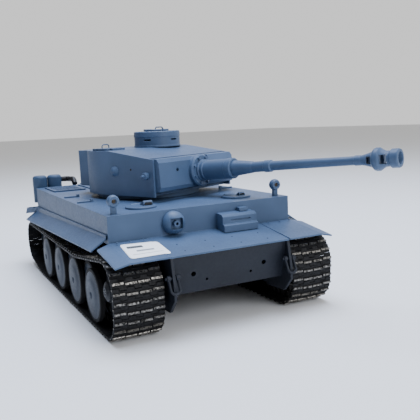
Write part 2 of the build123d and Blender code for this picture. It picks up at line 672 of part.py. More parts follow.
# ---------------------------------------------------------------- deck hatches
def deck_hatch(x, hood):
    """Round hatch lid with its lip, periscope hood and hinge knuckle."""
    with BuildPart() as lid:
        with BuildSketch(Plane.XY.offset(DECK_Z + 0.2)):
            with Locations((x, HATCH_Y)):
                Circle(HATCH_R)
        extrude(amount=1.8)
        fillet(lid.faces().sort_by(Axis.Z)[-1].edges(), 0.8)
        with BuildSketch(Plane.XY.offset(DECK_Z - 1.6)):
            with Locations((x, HATCH_Y)):
                Circle(HATCH_R - 2.2)
        extrude(amount=1.8)
        hood_w, hood_l, hood_h = hood
        with BuildSketch(Plane.YZ.offset(x + 1.5)):
            with BuildLine():
                Polyline((HATCH_Y - 5, DECK_Z + 2), (HATCH_Y - 5, DECK_Z + 1 + hood_h * 0.7),
                         (HATCH_Y - 3, DECK_Z + 2 + hood_h), (HATCH_Y - 5 + hood_l, DECK_Z + 2),
                         close=True)
            make_face()
        extrude(amount=hood_w)
        with BuildSketch(Plane.YZ.offset(x - 5)):
            with Locations((HATCH_Y + HATCH_R + 0.6, DECK_Z + 1.3)):
                Circle(1.1)
        extrude(amount=10)
    return lid.part


save(deck_hatch(HATCH_X, (6.5, 8, 3.2)), "driver_hatch")
save(deck_hatch(-HATCH_X, (9, 12, 4.6)), "radio_hatch")

# ---------------------------------------------------------------- turret shell
turret_place = Pos(0, TURRET_Y, 0) * Rot(0, 0, TURRET_REST)
MANTLET_HALF, MANTLET_GAP_Y = 61.6, -62.0
ROOF_BREAK_Y = -4.0


def turret_block(inset):
    """Horseshoe block with the roof sloping down to the front, shrunk by an inset."""
    half = TURRET_HALF - inset
    top, low = TURRET_TOP_Z - inset, TURRET_FRONT_Z - inset
    with BuildPart() as block:
        with BuildSketch(Plane.XY.offset(TURRET_BASE_Z + inset)):
            with Locations((0, (TURRET_NOSE_Y + TURRET_ARC_Y) / 2)):
                Rectangle(2 * half, TURRET_ARC_Y - TURRET_NOSE_Y)
            with Locations((0, TURRET_ARC_Y)):
                Circle(half)
        extrude(amount=top - TURRET_BASE_Z - inset)
        with BuildSketch(Plane.YZ):
            with BuildLine():
                Polyline((TURRET_NOSE_Y - 1, low), (ROOF_BREAK_Y, top), (ROOF_BREAK_Y, top + 5),
                         (TURRET_NOSE_Y - 1, top + 5), close=True)
            make_face()
        extrude(amount=TURRET_HALF + 1, both=True, mode=Mode.SUBTRACT)
    return block.part


DOME_Y, DOME_Z = -14.0, 134.0
STUB_Y, STUB_Z = -60.5, 130.0
LOADER_X, LOADER_Y, LOADER_W, LOADER_L = -45.0, 17.0, 26.0, 26.0
turret_outside, turret_inside = turret_block(0), turret_block(SHELL_T)
with BuildPart() as turret_shell:
    add(turret_outside)
    add(turret_inside, mode=Mode.SUBTRACT)
    with Locations((0, TURRET_NOSE_Y - 1, 130)):
        Box(2 * (MANTLET_HALF + 0.4), 2 * (MANTLET_GAP_Y - TURRET_NOSE_Y + 1), 80,
            mode=Mode.SUBTRACT)
    # Base ring and the neck that turns in the deck.
    with BuildSketch(Plane.XY.offset(DECK_Z + 0.3)):
        Circle(58.5)
    extrude(amount=TURRET_BASE_Z - DECK_Z - 0.3)
    with BuildSketch(Plane.XY.offset(92)):
        Circle(NECK_R)
    extrude(amount=TURRET_BASE_Z - 92)
    with BuildSketch(Plane.XY.offset(92)):
        Circle(NECK_R - 4)
    extrude(amount=TURRET_BASE_Z - 92 + SHELL_T, mode=Mode.SUBTRACT)
    # Loader's and commander's openings in the roof.
    with BuildSketch(Plane.XY.offset(TURRET_TOP_Z - 4)):
        with Locations((LOADER_X, LOADER_Y)):
            RectangleRounded(LOADER_W - 4, LOADER_L - 4, 4)
        with Locations((CUPOLA_X, CUPOLA_Y)):
            Circle(19)
    extrude(amount=6, mode=Mode.SUBTRACT)
    # Gun bearers standing on the turret floor.
    for bearer_x in (-45, 45):
        with BuildSketch(Plane.YZ.offset(bearer_x - 1.5)):
            with BuildLine():
                Polyline((MANTLET_GAP_Y + 0.5, TURRET_BASE_Z + 1), (-40, TURRET_BASE_Z + 1),
                         (-53, TRUNNION_Z + 4), (MANTLET_GAP_Y + 0.5, TRUNNION_Z + 4), close=True)
            make_face()
            with Locations((TRUNNION_Y, TRUNNION_Z)):
                Circle(2.05, mode=Mode.SUBTRACT)
        extrude(amount=3)
    # Pistol port domes and lifting studs, each turned about its own axis out of the side wall.
    for s in (1, -1):
        wall = s * (TURRET_HALF - 0.6)
        with BuildSketch(Plane((0, DOME_Y, DOME_Z))):
            with BuildLine():
                Polyline((wall, 0), (wall, 5.4), (wall + s * 1.6, 5.4), (wall + s * 3, 4))
                CenterArc((wall, 0), 5, 90 - s * 90, s * degrees(asin(4 / 5)))
                Line((wall + s * 5, 0), (wall, 0))
            make_face()
        revolve(axis=Axis((0, DOME_Y, DOME_Z), (1, 0, 0)))
        with BuildSketch(Plane((0, STUB_Y, STUB_Z))):
            with BuildLine():
                Polyline((wall, 0), (wall, 3.6), (wall + s * 4.2, 3.6), (wall + s * 5, 2.8),
                         (wall + s * 5, 1.4), (wall + s * 8.6, 1.1), (wall + s * 8.6, 0),
                         close=True)
            make_face()
        revolve(axis=Axis((0, STUB_Y, STUB_Z), (1, 0, 0)))
    # Hinge block in front of the loader's hatch.
    with Locations((LOADER_X, LOADER_Y - LOADER_L / 2 - 3.4, TURRET_TOP_Z + 0.9)):
        Box(18, 4, 2.4)
save(turret_place * turret_shell.part, "turret_shell")

with BuildPart() as bin_box:
    with BuildSketch(Plane.XY.offset(113)):
        with Locations((0, 71)):
            RectangleRounded(68, 26, 5)
        with Locations((0, TURRET_ARC_Y)):
            Circle(TURRET_HALF + 0.05, mode=Mode.SUBTRACT)
    extrude(amount=41.5)
save(turret_place * bin_box.part, "turret_bin")

with BuildPart() as loader_lid:
    with BuildSketch(Plane.XY.offset(TURRET_TOP_Z + 0.2)):
        with Locations((LOADER_X, LOADER_Y)):
            RectangleRounded(LOADER_W, LOADER_L, 5)
    extrude(amount=2.0)
    with BuildSketch(Plane.YZ.offset(LOADER_X - 7)):
        with Locations((LOADER_Y - LOADER_L / 2, TURRET_TOP_Z + 1.4)):
            Circle(1.1)
    extrude(amount=14)
    with BuildLine() as grab:
        FilletPolyline((LOADER_X - 5, LOADER_Y + 3, TURRET_TOP_Z + 1.5),
                       (LOADER_X - 5, LOADER_Y + 3, TURRET_TOP_Z + 6.2),
                       (LOADER_X + 5, LOADER_Y + 3, TURRET_TOP_Z + 6.2),
                       (LOADER_X + 5, LOADER_Y + 3, TURRET_TOP_Z + 1.5), radius=2.5)
    with BuildSketch(Plane(grab.line @ 0, z_dir=grab.line % 0)):
        Circle(0.6)
    sweep(path=grab.line)
save(turret_place * loader_lid.part, "loader_hatch")

# ---------------------------------------------------------------- cupola
CUPOLA_HATCH_R = 14.5
with BuildPart() as cupola:
    with BuildSketch(Plane.XZ):
        with BuildLine():
            z0, z1, r = TURRET_TOP_Z + 0.05, CUPOLA_TOP_Z, CUPOLA_R
            Polyline((19, z0), (r, z0), (r, z0 + 1.6), (r - 0.5, z0 + 2), (r - 0.6, z0 + 11.6),
                     (r - 0.1, z0 + 12), (r - 0.4, z1 - 0.8), (r - 1.2, z1), (13.5, z1),
                     (13.5, z1 - 2.2), (21, z1 - 2.2), (21, z0 + 3), (19, z0 + 3), close=True)
        make_face()
    revolve(axis=Axis.Z)
    with BuildSketch(Plane.XY.offset(TURRET_TOP_Z + 7.4)):
        with PolarLocations(CUPOLA_R, 5, start_angle=-90):
            Rectangle(14, 9)
    extrude(amount=1.9, mode=Mode.SUBTRACT)
    with Locations((-9, -18.5, CUPOLA_TOP_Z + 1.6)):
        Cylinder(0.8, 4)
cupola_place = turret_place * Pos(CUPOLA_X, CUPOLA_Y, 0)
save(cupola_place * cupola.part, "cupola")

with BuildPart() as cupola_lid:
    with BuildSketch(Plane.XY.offset(CUPOLA_TOP_Z + 0.2)):
        Circle(CUPOLA_HATCH_R)
    extrude(amount=2.0)
    fillet(cupola_lid.faces().sort_by(Axis.Z)[-1].edges(), 0.9)
    with BuildSketch(Plane.YZ.offset(-6)):
        with Locations((CUPOLA_HATCH_R + 0.4, CUPOLA_TOP_Z + 1.4)):
            Circle(1.2)
    extrude(amount=12)
    with BuildLine() as lid_grab:
        FilletPolyline((-6, -4, CUPOLA_TOP_Z + 1.5), (-6, -4, CUPOLA_TOP_Z + 4.6),
                       (6, -4, CUPOLA_TOP_Z + 4.6), (6, -4, CUPOLA_TOP_Z + 1.5), radius=2)
    with BuildSketch(Plane(lid_grab.line @ 0, z_dir=lid_grab.line % 0)):
        Circle(0.7)
    sweep(path=lid_grab.line)
save(cupola_place * cupola_lid.part, "cupola_hatch")

# ---------------------------------------------------------------- gun
# Gun pieces have their origin on the trunnions, with the muzzle towards -Y.
gun_place = turret_place * Pos(0, TRUNNION_Y, TRUNNION_Z) * Rot(-GUN_REST, 0, 0)
BARREL_R, SLEEVE_R, SLEEVE_Y0, SLEEVE_Y1 = 8.15, 10.3, -22.0, -66.0
BRAKE_Y = -204.0
with BuildPart() as mantlet:
    with BuildSketch(Plane.YZ):
        with BuildLine():
            Polyline((-8.2, -17.4), (-15.5, -16.6), (-18, -12.5), (-18, 12.5), (-15.5, 16.4),
                     (-9.8, 17.1), (-8.8, 15.4), close=True)
        make_face()
    extrude(amount=MANTLET_HALF, both=True)
    # Thicker sight block on the left.
    with BuildSketch(Plane.YZ.offset(14)):
        with BuildLine():
            Polyline((-15, -14), (-20, -14), (-22.5, -11), (-22.5, 9), (-19, 16.2), (-15, 16.2),
                     close=True)
        make_face()
    extrude(amount=42)
    # Collar ring and the sleeve in front of it.
    with BuildSketch(Plane.XY):
        with BuildLine():
            r = SLEEVE_R
            Polyline((0, -16), (17.2, -16), (17.2, SLEEVE_Y0), (15.8, SLEEVE_Y0 - 1.5),
                     (r + 1.2, SLEEVE_Y0 - 1.5), (r + 1.2, SLEEVE_Y0 - 3.5),
                     (r, SLEEVE_Y0 - 4.5), (r + 0.7, SLEEVE_Y0 - 7), (r + 0.7, SLEEVE_Y0 - 8.5),
                     (r, SLEEVE_Y0 - 9), (r, SLEEVE_Y1 + 8), (r + 0.4, SLEEVE_Y1 + 7.4),
                     (r + 0.4, SLEEVE_Y1 + 1), (r - 0.6, SLEEVE_Y1), (0, SLEEVE_Y1), close=True)
        make_face()
    revolve(axis=Axis.Y)
    with BuildSketch(Plane.XZ.offset(-SLEEVE_Y0 + 1)):
        with PolarLocations(14.2, 8, start_angle=22.5):
            RegularPolygon(1.5, 6)
    extrude(amount=2.6)
    # Trunnion arms and stub pins.
    for s in (1, -1):
        with BuildSketch(Plane.YZ.offset(s * 37)):
            with Locations((0, 0)):
                Circle(4)
            with Locations((-12, 0)):
                Circle(6)
            make_hull()
        extrude(amount=s * 4)
        with BuildSketch(Plane.YZ.offset(s * 40)):
            Circle(2)
        extrude(amount=s * 8)
    # Bore for the barrel, coaxial gun port on the right, two sight holes on the left.
    with BuildSketch(Plane.XZ):
        Circle(BARREL_R + 0.07)
    extrude(amount=80, mode=Mode.SUBTRACT)
    with BuildSketch(Plane.XZ):
        with Locations((-34, 4)):
            Circle(2.0)
        with Locations((27, 3), (33, 3)):
            Circle(1.4)
    extrude(amount=80, mode=Mode.SUBTRACT)
save(gun_place * mantlet.part, "gun_mantlet")

with BuildPart() as barrel:
    with BuildSketch(Plane.XY):
        with BuildLine():
            Polyline((0, 12), (BARREL_R, 12), (BARREL_R, -68), (5.8, -88.5), (5.4, -90),
                     (5.3, -103), (5.9, -103.6), (5.9, -110.4), (4.8, -111.5), (4.05, -193),
                     (4.05, -197.5), (4.6, -198), (4.6, -203), (4.3, BRAKE_Y), (0, BRAKE_Y),
                     close=True)
        make_face()
    revolve(axis=Axis.Y)
    with BuildSketch(Plane.XZ.offset(-BRAKE_Y - 60)):
        Circle(2.4)
    extrude(amount=61, mode=Mode.SUBTRACT)
save(gun_place * barrel.part, "gun_barrel")

with BuildPart() as brake:
    with BuildSketch(Plane.XY):
        with BuildLine():
            Polyline((2.4, BRAKE_Y), (4.4, BRAKE_Y), (5.2, -208), (6.9, -214), (9.6, -216.5),
                     (10.2, -218), (10.2, -221), (8.4, -223.5), (6.9, -226.5), (6.9, -230),
                     (8.3, -231.8), (8.3, -237.6), (7.7, -238.6), (5.6, -238.6), (4.4, -234.6),
                     (4.2, -210), (2.4, -209), close=True)
        make_face()
    revolve(axis=Axis.Y)
    with Locations((0, -212.2, 0)):
        Box(30, 4.4, 6.4, mode=Mode.SUBTRACT)
    with Locations((0, -225.5, 0)):
        Box(30, 6, 8, mode=Mode.SUBTRACT)
save(gun_place * brake.part, "muzzle_brake")

# ---------------------------------------------------------------- turret drive
RING_TEETH, RING_PINION_TEETH = 114, 12
RING_Z = 92.0
RING_PINION_Y = TURRET_Y + (RING_TEETH + RING_PINION_TEETH) * MODULE / 2 + MESH_EXTRA
ring_outline = spur(RING_TEETH, turn=90)
ring_pinion_outline = spur(RING_PINION_TEETH, turn=-90 + 180 / RING_PINION_TEETH)
with BuildPart() as ring_gear:
    with BuildSketch(Plane.XY.offset(RING_Z)):
        add(ring_outline)
        Circle(NECK_R + 0.02, mode=Mode.SUBTRACT)
    extrude(amount=5)
save(Pos(0, TURRET_Y, 0) * ring_gear.part, "turret_ring_gear")

with BuildPart() as ring_pinion:
    with BuildSketch(Plane.XY.offset(RING_Z - 0.5)):
        add(ring_pinion_outline)
    extrude(amount=6)
    with BuildSketch(Plane.XY.offset(80)):
        Circle(1.5)
    extrude(amount=RING_Z - 80)
save(Pos(0, RING_PINION_Y, 0) * ring_pinion.part, "turret_pinion")

with BuildPart() as turret_motor:
    with BuildSketch(Plane.XY.offset(60)):
        Circle(10)
    extrude(amount=28)
    with BuildSketch(Plane.XY.offset(88)):
        with Locations((0, 3)):
            RectangleRounded(34, 28, 3)
    extrude(amount=2)
    with BuildSketch(Plane.XY.offset(90)):
        with Locations((12, 12), (-12, 12)):
            Circle(3)
    extrude(amount=DECK_Z - 2 - 90)
    with BuildSketch(Plane.XY.offset(79)):
        Circle(1.55)
    extrude(amount=12, mode=Mode.SUBTRACT)
save(Pos(0, RING_PINION_Y, 0) * turret_motor.part, "turret_motor")

# ---------------------------------------------------------------- inside the hull
INNER_FLOOR_Z = FLOOR_Z + PLATE_T
with BuildPart() as battery:
    with BuildSketch(Plane.XY.offset(INNER_FLOOR_Z)):
        with Locations((0, -40)):
            RectangleRounded(46, 94, 3)
    extrude(amount=24)
save(battery.part, "battery_pack")

with BuildPart() as board:
    with BuildSketch(Plane.XY.offset(INNER_FLOOR_Z)):
        with Locations((-12, 142)):
            with GridLocations(44, 56, 2, 2):
                Circle(2.5)
    extrude(amount=6)
    with BuildSketch(Plane.XY.offset(INNER_FLOOR_Z + 6)):
        with Locations((-12, 142)):
            Rectangle(52, 64)
    extrude(amount=1.6)
    for x, y, w, l, h in ((-24, 130, 14, 14, 2), (-6, 150, 10, 20, 8), (4, 122, 8, 12, 10)):
        with Locations((x, y, INNER_FLOOR_Z + 7.6 + h / 2)):
            Box(w, l, h)
save(board.part, "control_board")

with BuildPart() as speaker:
    with BuildSketch(Plane.XZ):
        with BuildLine():
            Polyline((0, 84), (13, 84), (13, 89), (24, 97), (27, 97), (27, 101), (23, 101),
                     (11, 91), (0, 91), close=True)
        make_face()
    revolve(axis=Axis.Z)
save(Pos(0, 150, 0) * speaker.part, "speaker")

with BuildPart() as switch_case:
    with Locations((SWITCH_X, SWITCH_Y, INNER_FLOOR_Z + 3)):
        Box(14, 22, 6)
    with Locations((SWITCH_X, SWITCH_Y, INNER_FLOOR_Z + 2)):
        Box(6.4, 12, 4, mode=Mode.SUBTRACT)
save(switch_case.part, "switch_case")
SWITCH_TRAVEL = 4.0
with BuildPart() as switch_knob:
    with Locations((SWITCH_X, SWITCH_Y - SWITCH_TRAVEL / 2, INNER_FLOOR_Z + 0.6)):
        Box(5.6, 6, 6.4)
save(switch_knob.part, "switch_knob")

with BuildPart() as hull_screws:
    with BuildSketch(Plane.XY.offset(FLOOR_Z - 1.5)):
        with Locations(*SCREW_POINTS):
            Circle(2.6)
    extrude(amount=1.5)
    with BuildSketch(Plane.XY.offset(FLOOR_Z - 1)):
        with Locations(*SCREW_POINTS):
            Circle(SCREW_R)
    extrude(amount=18)
    with BuildSketch(Plane.XY.offset(FLOOR_Z - 2)):
        with Locations(*SCREW_POINTS):
            Rectangle(3, 0.7)
            Rectangle(0.7, 3)
    extrude(amount=1.2, mode=Mode.SUBTRACT)
save(join([hull_screws.part]), "hull_screws")
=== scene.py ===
"""A 1:16 remote control model of a heavy tank, finished in satin blue-grey."""

import json
from math import asin, atan2, copysign, cos, hypot, pi, radians, sin

import bmesh
import bpy
from mathutils import Matrix, Vector


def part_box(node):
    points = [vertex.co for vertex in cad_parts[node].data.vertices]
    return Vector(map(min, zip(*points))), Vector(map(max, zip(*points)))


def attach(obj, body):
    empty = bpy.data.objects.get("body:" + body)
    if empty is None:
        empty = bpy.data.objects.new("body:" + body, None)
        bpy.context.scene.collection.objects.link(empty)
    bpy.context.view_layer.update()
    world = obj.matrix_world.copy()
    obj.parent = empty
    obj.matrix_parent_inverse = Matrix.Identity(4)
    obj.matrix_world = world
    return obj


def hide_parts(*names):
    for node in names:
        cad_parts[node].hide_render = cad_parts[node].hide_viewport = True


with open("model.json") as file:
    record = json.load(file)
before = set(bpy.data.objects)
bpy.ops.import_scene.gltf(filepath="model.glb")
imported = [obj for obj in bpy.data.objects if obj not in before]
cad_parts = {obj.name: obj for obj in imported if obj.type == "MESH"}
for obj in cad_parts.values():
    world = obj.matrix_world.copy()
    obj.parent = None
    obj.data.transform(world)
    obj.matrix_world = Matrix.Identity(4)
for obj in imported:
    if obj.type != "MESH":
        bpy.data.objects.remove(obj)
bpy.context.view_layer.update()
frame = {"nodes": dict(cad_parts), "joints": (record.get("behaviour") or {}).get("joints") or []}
nodes = frame["nodes"]
joints = {joint["name"]: joint for joint in frame["joints"]}
MM = 0.001

# ---------------------------------------------------------------- hull and turret shells
# The hull, turret and their fittings are moulded ABS, sprayed after assembly with satin
# blue-grey model enamel: a soft sheen, a faint orange peel, slightly cloudy colour and paler
# edges, partly rubbed and partly a painted highlight. The tub and the arms under the guards
# are near-black, which is painted shade.


def linear(code):
    """An sRGB hex colour as linear RGBA."""
    parts = [int(code[i:i + 2], 16) / 255 for i in (0, 2, 4)]
    return [c / 12.92 if c <= 0.04045 else ((c + 0.055) / 1.055) ** 2.4 for c in parts] + [1.0]


def add(tree, kind, links=(), **settings):
    """Adds a node with its settings; each link is an input and a value or another output."""
    node = tree.nodes.new(kind)
    for name, value in settings.items():
        setattr(node, name, value)
    for name, source in dict(links).items():
        if isinstance(source, bpy.types.NodeSocket):
            tree.links.new(source, node.inputs[name])
        else:
            node.inputs[name].default_value = source
    return node


def new_material(name, metallic, roughness):
    """An empty material, its tree, its shader and the object coordinates it reads."""
    material = bpy.data.materials.new(name)
    material.use_nodes = True
    tree = material.node_tree
    shader = tree.nodes["Principled BSDF"]
    shader.inputs["Metallic"].default_value = metallic
    shader.inputs["Roughness"].default_value = roughness
    shader.inputs["Specular IOR Level"].default_value = 0.3
    return material, tree, shader, add(tree, "ShaderNodeTexCoord").outputs["Object"]


def noise(tree, place, size, detail=3.0):
    """Noise whose lumps are about one size, in metres, across."""
    return add(tree, "ShaderNodeTexNoise",
               {"Vector": place, "Scale": 1 / size, "Detail": detail}).outputs["Fac"]


def blended(tree, share, low, high):
    """A colour between two others."""
    mix = add(tree, "ShaderNodeMix", data_type="RGBA")
    for socket, source in ((mix.inputs[0], share), (mix.inputs[6], low), (mix.inputs[7], high)):
        if isinstance(source, bpy.types.NodeSocket):
            tree.links.new(source, socket)
        else:
            socket.default_value = source
    return mix.outputs[2]


def spread(tree, value, low, high, to_low=0.0, to_high=1.0):
    """A value rescaled from one range to another and held inside it."""
    return add(tree, "ShaderNodeMapRange",
               {"Value": value, "From Min": low, "From Max": high,
                "To Min": to_low, "To Max": to_high}).outputs["Result"]


def rubbed_and_highlit_edges(tree, place, radius):
    """How sharp the nearest edge is, broken up by noise, as the mask for paler edges that are
    partly rubbed paint and partly a painted highlight; and the softened normal.
    """
    soft = add(tree, "ShaderNodeBevel", {"Radius": radius}, samples=4).outputs["Normal"]
    flat = add(tree, "ShaderNodeNewGeometry").outputs["Normal"]
    along = add(tree, "ShaderNodeVectorMath", {0: soft, 1: flat},
                operation="DOT_PRODUCT").outputs["Value"]
    edge = spread(tree, along, 0.995, 0.86)
    broken = spread(tree, noise(tree, place, 5 * MM), 0.35, 0.62)
    worn_and_highlit = add(tree, "ShaderNodeMath", {0: edge, 1: broken}, operation="MULTIPLY")
    return worn_and_highlit.outputs["Value"], soft


def sprayed_enamel(name, deep, pale, rubbed_and_highlight, roughness=0.44):
    """Satin model enamel: cloudy over 30 mm, orange peel of 0.9 mm, paler on edges, partly rubbed
    and partly a painted highlight.
    """
    material, tree, shader, place = new_material(name, 0.0, roughness)
    cloud = spread(tree, noise(tree, place, 30 * MM), 0.3, 0.7)
    worn_and_highlit, soft = rubbed_and_highlit_edges(tree, place, 0.45 * MM)
    coat = blended(tree, cloud, linear(deep), linear(pale))
    # Paler on sharp edges: partly rubbed paint, partly a painted highlight where light catches
    # them.
    tree.links.new(blended(tree, worn_and_highlit, coat, linear(rubbed_and_highlight)), shader.inputs["Base Color"])
    speckle = noise(tree, place, 2.5 * MM, 5.0)
    tree.links.new(spread(tree, speckle, 0.3, 0.7, roughness - 0.06, roughness + 0.08),
                   shader.inputs["Roughness"])
    peel = add(tree, "ShaderNodeBump",
               {"Strength": 0.25, "Distance": 0.06 * MM, "Normal": soft,
                "Height": noise(tree, place, 0.9 * MM)})
    tree.links.new(peel.outputs["Normal"], shader.inputs["Normal"])
    return material


def finish(material, *names):
    """Gives CAD nodes a material."""
    for name in names:
        slots = nodes[name].data.materials
        slots.clear()
        slots.append(material)


hull_enamel = sprayed_enamel("satin_blue_grey_enamel", "3F536E", "475C79", "6B83A5")
# A near-black copy of the enamel for the tub, shackles and arms: painted shade, where they lie in
# shadow under the guards.
painted_shade_enamel = sprayed_enamel("satin_blue_grey_enamel_tub_painted_shade", "10141C", "151A24", "323D4F", 0.55)
finish(hull_enamel, "upper_hull", "mudguards", "side_skirts", "driver_visor", "bow_gun_ball",
       "headlamps", "driver_hatch", "radio_hatch", "engine_hatch", "intake_grilles",
       "exhausts", "tool_clamps", "turret_shell", "turret_bin", "cupola", "cupola_hatch",
       "loader_hatch", "gun_mantlet", "gun_barrel", "muzzle_brake")
finish(painted_shade_enamel, "lower_hull", "tow_shackle_left", "tow_shackle_right", "suspension_arms")

# ---------------------------------------------------------------- air cleaners
# Paired pre-cleaner cans at the rear corners, enamelled like the hull, with soft black rubber
# hoses moulded on, which bend over the edge of the deck.
material, tree, shader, place = new_material("enamelled_cans_and_rubber_hoses", 0.0, 0.46)
HOSE_END_X = 59.3 * MM
apart = add(tree, "ShaderNodeSeparateXYZ", {"Vector": place})
side_x = add(tree, "ShaderNodeMath", {0: apart.outputs["X"]}, operation="ABSOLUTE")
is_hose = add(tree, "ShaderNodeMath", {0: side_x.outputs["Value"], 1: HOSE_END_X},
              operation="LESS_THAN").outputs["Value"]
cloud = spread(tree, noise(tree, place, 20 * MM), 0.3, 0.7)
paint = blended(tree, cloud, linear("33475F"), linear("3B506B"))
rubber = blended(tree, cloud, linear("17171A"), linear("2A2726"))
tree.links.new(blended(tree, is_hose, paint, rubber), shader.inputs["Base Color"])
ribs = add(tree, "ShaderNodeTexWave", {"Vector": place, "Scale": 1 / (2.6 * MM * pi)},
           bands_direction="X")
rib_height = add(tree, "ShaderNodeMath", {0: ribs.outputs["Fac"], 1: is_hose},
                 operation="MULTIPLY")
ribbing = add(tree, "ShaderNodeBump", {"Strength": 0.8, "Distance": 0.5 * MM,
                                       "Height": rib_height.outputs["Value"]})
tree.links.new(ribbing.outputs["Normal"], shader.inputs["Normal"])
finish(material, "air_cleaners")

# ---------------------------------------------------------------- road wheels and idlers
# Interleaved pressed discs in the hull's enamel, each row with a moulded rubber tyre. The
# rubber is matt and a little dusty; the discs are greyer, being sprayed off the vehicle. The
# idlers are bare discs, so their rim lies outside them.
TYRE, RING_INSET, RING_W = 3.1 * MM, 2.2 * MM, 1.0 * MM


def wheel_finish(name, axle, rim_r):
    """Enamel inside the rim's radius about one axle, black rubber outside it."""
    material, tree, shader, place = new_material(name, 0.0, 0.5)
    seen = add(tree, "ShaderNodeMapping", {"Vector": place, "Location": (0, -axle.y, -axle.z)})
    flat = add(tree, "ShaderNodeVectorMath", {0: seen.outputs["Vector"], 1: (0, 1, 1)},
               operation="MULTIPLY").outputs["Vector"]
    radius = add(tree, "ShaderNodeVectorMath", {0: flat}, operation="LENGTH").outputs["Value"]
    is_tyre = add(tree, "ShaderNodeMath", {0: radius, 1: rim_r},
                  operation="GREATER_THAN").outputs["Value"]
    cloud = spread(tree, noise(tree, place, 12 * MM), 0.3, 0.7)
    paint = blended(tree, cloud, linear("222A35"), linear("2A333E"))
    rubber = blended(tree, cloud, linear("0E0E10"), linear("1D1C1C"))
    tree.links.new(blended(tree, is_tyre, paint, rubber), shader.inputs["Base Color"])
    tree.links.new(spread(tree, is_tyre, 0, 1, 0.46, 0.82), shader.inputs["Roughness"])
    # A shallow pressed ring just inside the rim, and fine grain all over.
    ring = add(tree, "ShaderNodeMath", {0: radius, 1: rim_r - RING_INSET, 2: RING_W / 2},
               operation="COMPARE").outputs["Value"]
    groove = add(tree, "ShaderNodeBump", {"Strength": 0.7, "Distance": 0.3 * MM,
                                          "Height": ring}, invert=True)
    grain = add(tree, "ShaderNodeBump", {"Strength": 0.2, "Distance": 0.06 * MM,
                                         "Height": noise(tree, place, 0.9 * MM),
                                         "Normal": groove.outputs["Normal"]})
    tree.links.new(grain.outputs["Normal"], shader.inputs["Normal"])
    return material


wheel_names = sorted(name for name in nodes if name.startswith("road_wheel"))
for name in wheel_names:
    low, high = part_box(name)
    middle, rim_r = (low + high) / 2, (high.z - low.z) / 2 - TYRE
    finish(wheel_finish(f"enamel_and_rubber_{name}", middle, rim_r - 0.05 * MM), name)
for name in ("idler_left", "idler_right"):
    low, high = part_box(name)
    finish(wheel_finish("enamelled_idler_disc", (low + high) / 2, high.z - low.z), name)

# ---------------------------------------------------------------- wheel covers
# A pressed cover closes the outer face of every road wheel: slightly domed, with a faint step
# two thirds of the way out and a small hub cap.


def placed(name, mesh):
    """Links a finished mesh into the scene as a piece."""
    piece = bpy.data.objects.new(name, mesh)
    bpy.context.scene.collection.objects.link(piece)
    return piece


def lathe(name, profile, centre, facing, material, steps=32):
    """A shape turned about an axis; the profile is radius and distance along it."""
    facing = Vector(facing).normalized()
    across = facing.orthogonal().normalized()
    bm = bmesh.new()
    rings = []
    for k in range(steps):
        spoke = Matrix.Rotation(k * 2 * pi / steps, 3, facing) @ across
        rings.append([bm.verts.new(Vector(centre) + r * spoke + h * facing)
                      for r, h in profile])
    for k in range(steps):
        here, there = rings[k], rings[(k + 1) % steps]
        for i in range(len(profile) - 1):
            bm.faces.new((here[i], there[i], there[i + 1], here[i + 1]))
    bmesh.ops.remove_doubles(bm, verts=bm.verts, dist=1e-7)
    bmesh.ops.recalc_face_normals(bm, faces=bm.faces)
    for face in bm.faces:
        face.smooth = True
    mesh = bpy.data.meshes.new(name)
    bm.to_mesh(mesh)
    bm.free()
    mesh.set_sharp_from_angle(angle=radians(35))
    mesh.materials.append(material)
    return placed(name, mesh)


wheel_enamel = sprayed_enamel("wheel_enamel", "27303C", "2F3946", "4E5967", 0.5)
CAP_PROUD = 1.5 * MM
for name in wheel_names:
    low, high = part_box(name)
    side = 1 if low.x > 0 else -1
    face = (high.x if side > 0 else low.x) - side * CAP_PROUD
    centre = Vector((face, (low.y + high.y) / 2, (low.z + high.z) / 2))
    cover = lathe(f"{name}_cover",
                  [(21.4 * MM, -0.4 * MM), (21.2 * MM, 0.1 * MM), (20.2 * MM, 0.35 * MM),
                   (15.4 * MM, 0.75 * MM), (14.8 * MM, 1.15 * MM), (7.0 * MM, 1.6 * MM),
                   (3.4 * MM, 1.65 * MM), (3.1 * MM, 2.1 * MM), (2.2 * MM, 2.5 * MM),
                   (0, 2.6 * MM)], centre, (side, 0, 0), wheel_enamel, 48)
    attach(cover, name.replace("road_wheel", "wheel"))

# ---------------------------------------------------------------- tracks
# Each track is a run of die-cast links on steel pins, chemically blackened. The link has a
# comb of hinge knuckles, a grouser bar in four lengths and two guide horns; the road rubs the
# grousers and pin heads back to bright metal.


def blackened(name, dark, lighter, roughness, metallic, grain):
    """Cast metal: mottled at the size of its grain, and pitted."""
    material, tree, shader, place = new_material(name, metallic, roughness)
    mottle = spread(tree, noise(tree, place, grain, 5.0), 0.34, 0.66)
    tree.links.new(blended(tree, mottle, linear(dark), linear(lighter)),
                   shader.inputs["Base Color"])
    tree.links.new(spread(tree, mottle, 0, 1, roughness + 0.1, roughness - 0.08),
                   shader.inputs["Roughness"])
    pits = add(tree, "ShaderNodeBump", {"Strength": 0.35, "Distance": 0.15 * MM,
                                        "Height": noise(tree, place, grain / 2)})
    tree.links.new(pits.outputs["Normal"], shader.inputs["Normal"])
    return material


link_black = blackened("blackened_cast_link", "050506", "0E0D0F", 0.6, 0.2, 1.6 * MM)
link_worn = blackened("worn_link_metal", "121211", "8C8881", 0.4, 0.9, 1.8 * MM)
sprocket_metal = blackened("blackened_sprocket", "101114", "202227", 0.5, 0.5, 2.0 * MM)

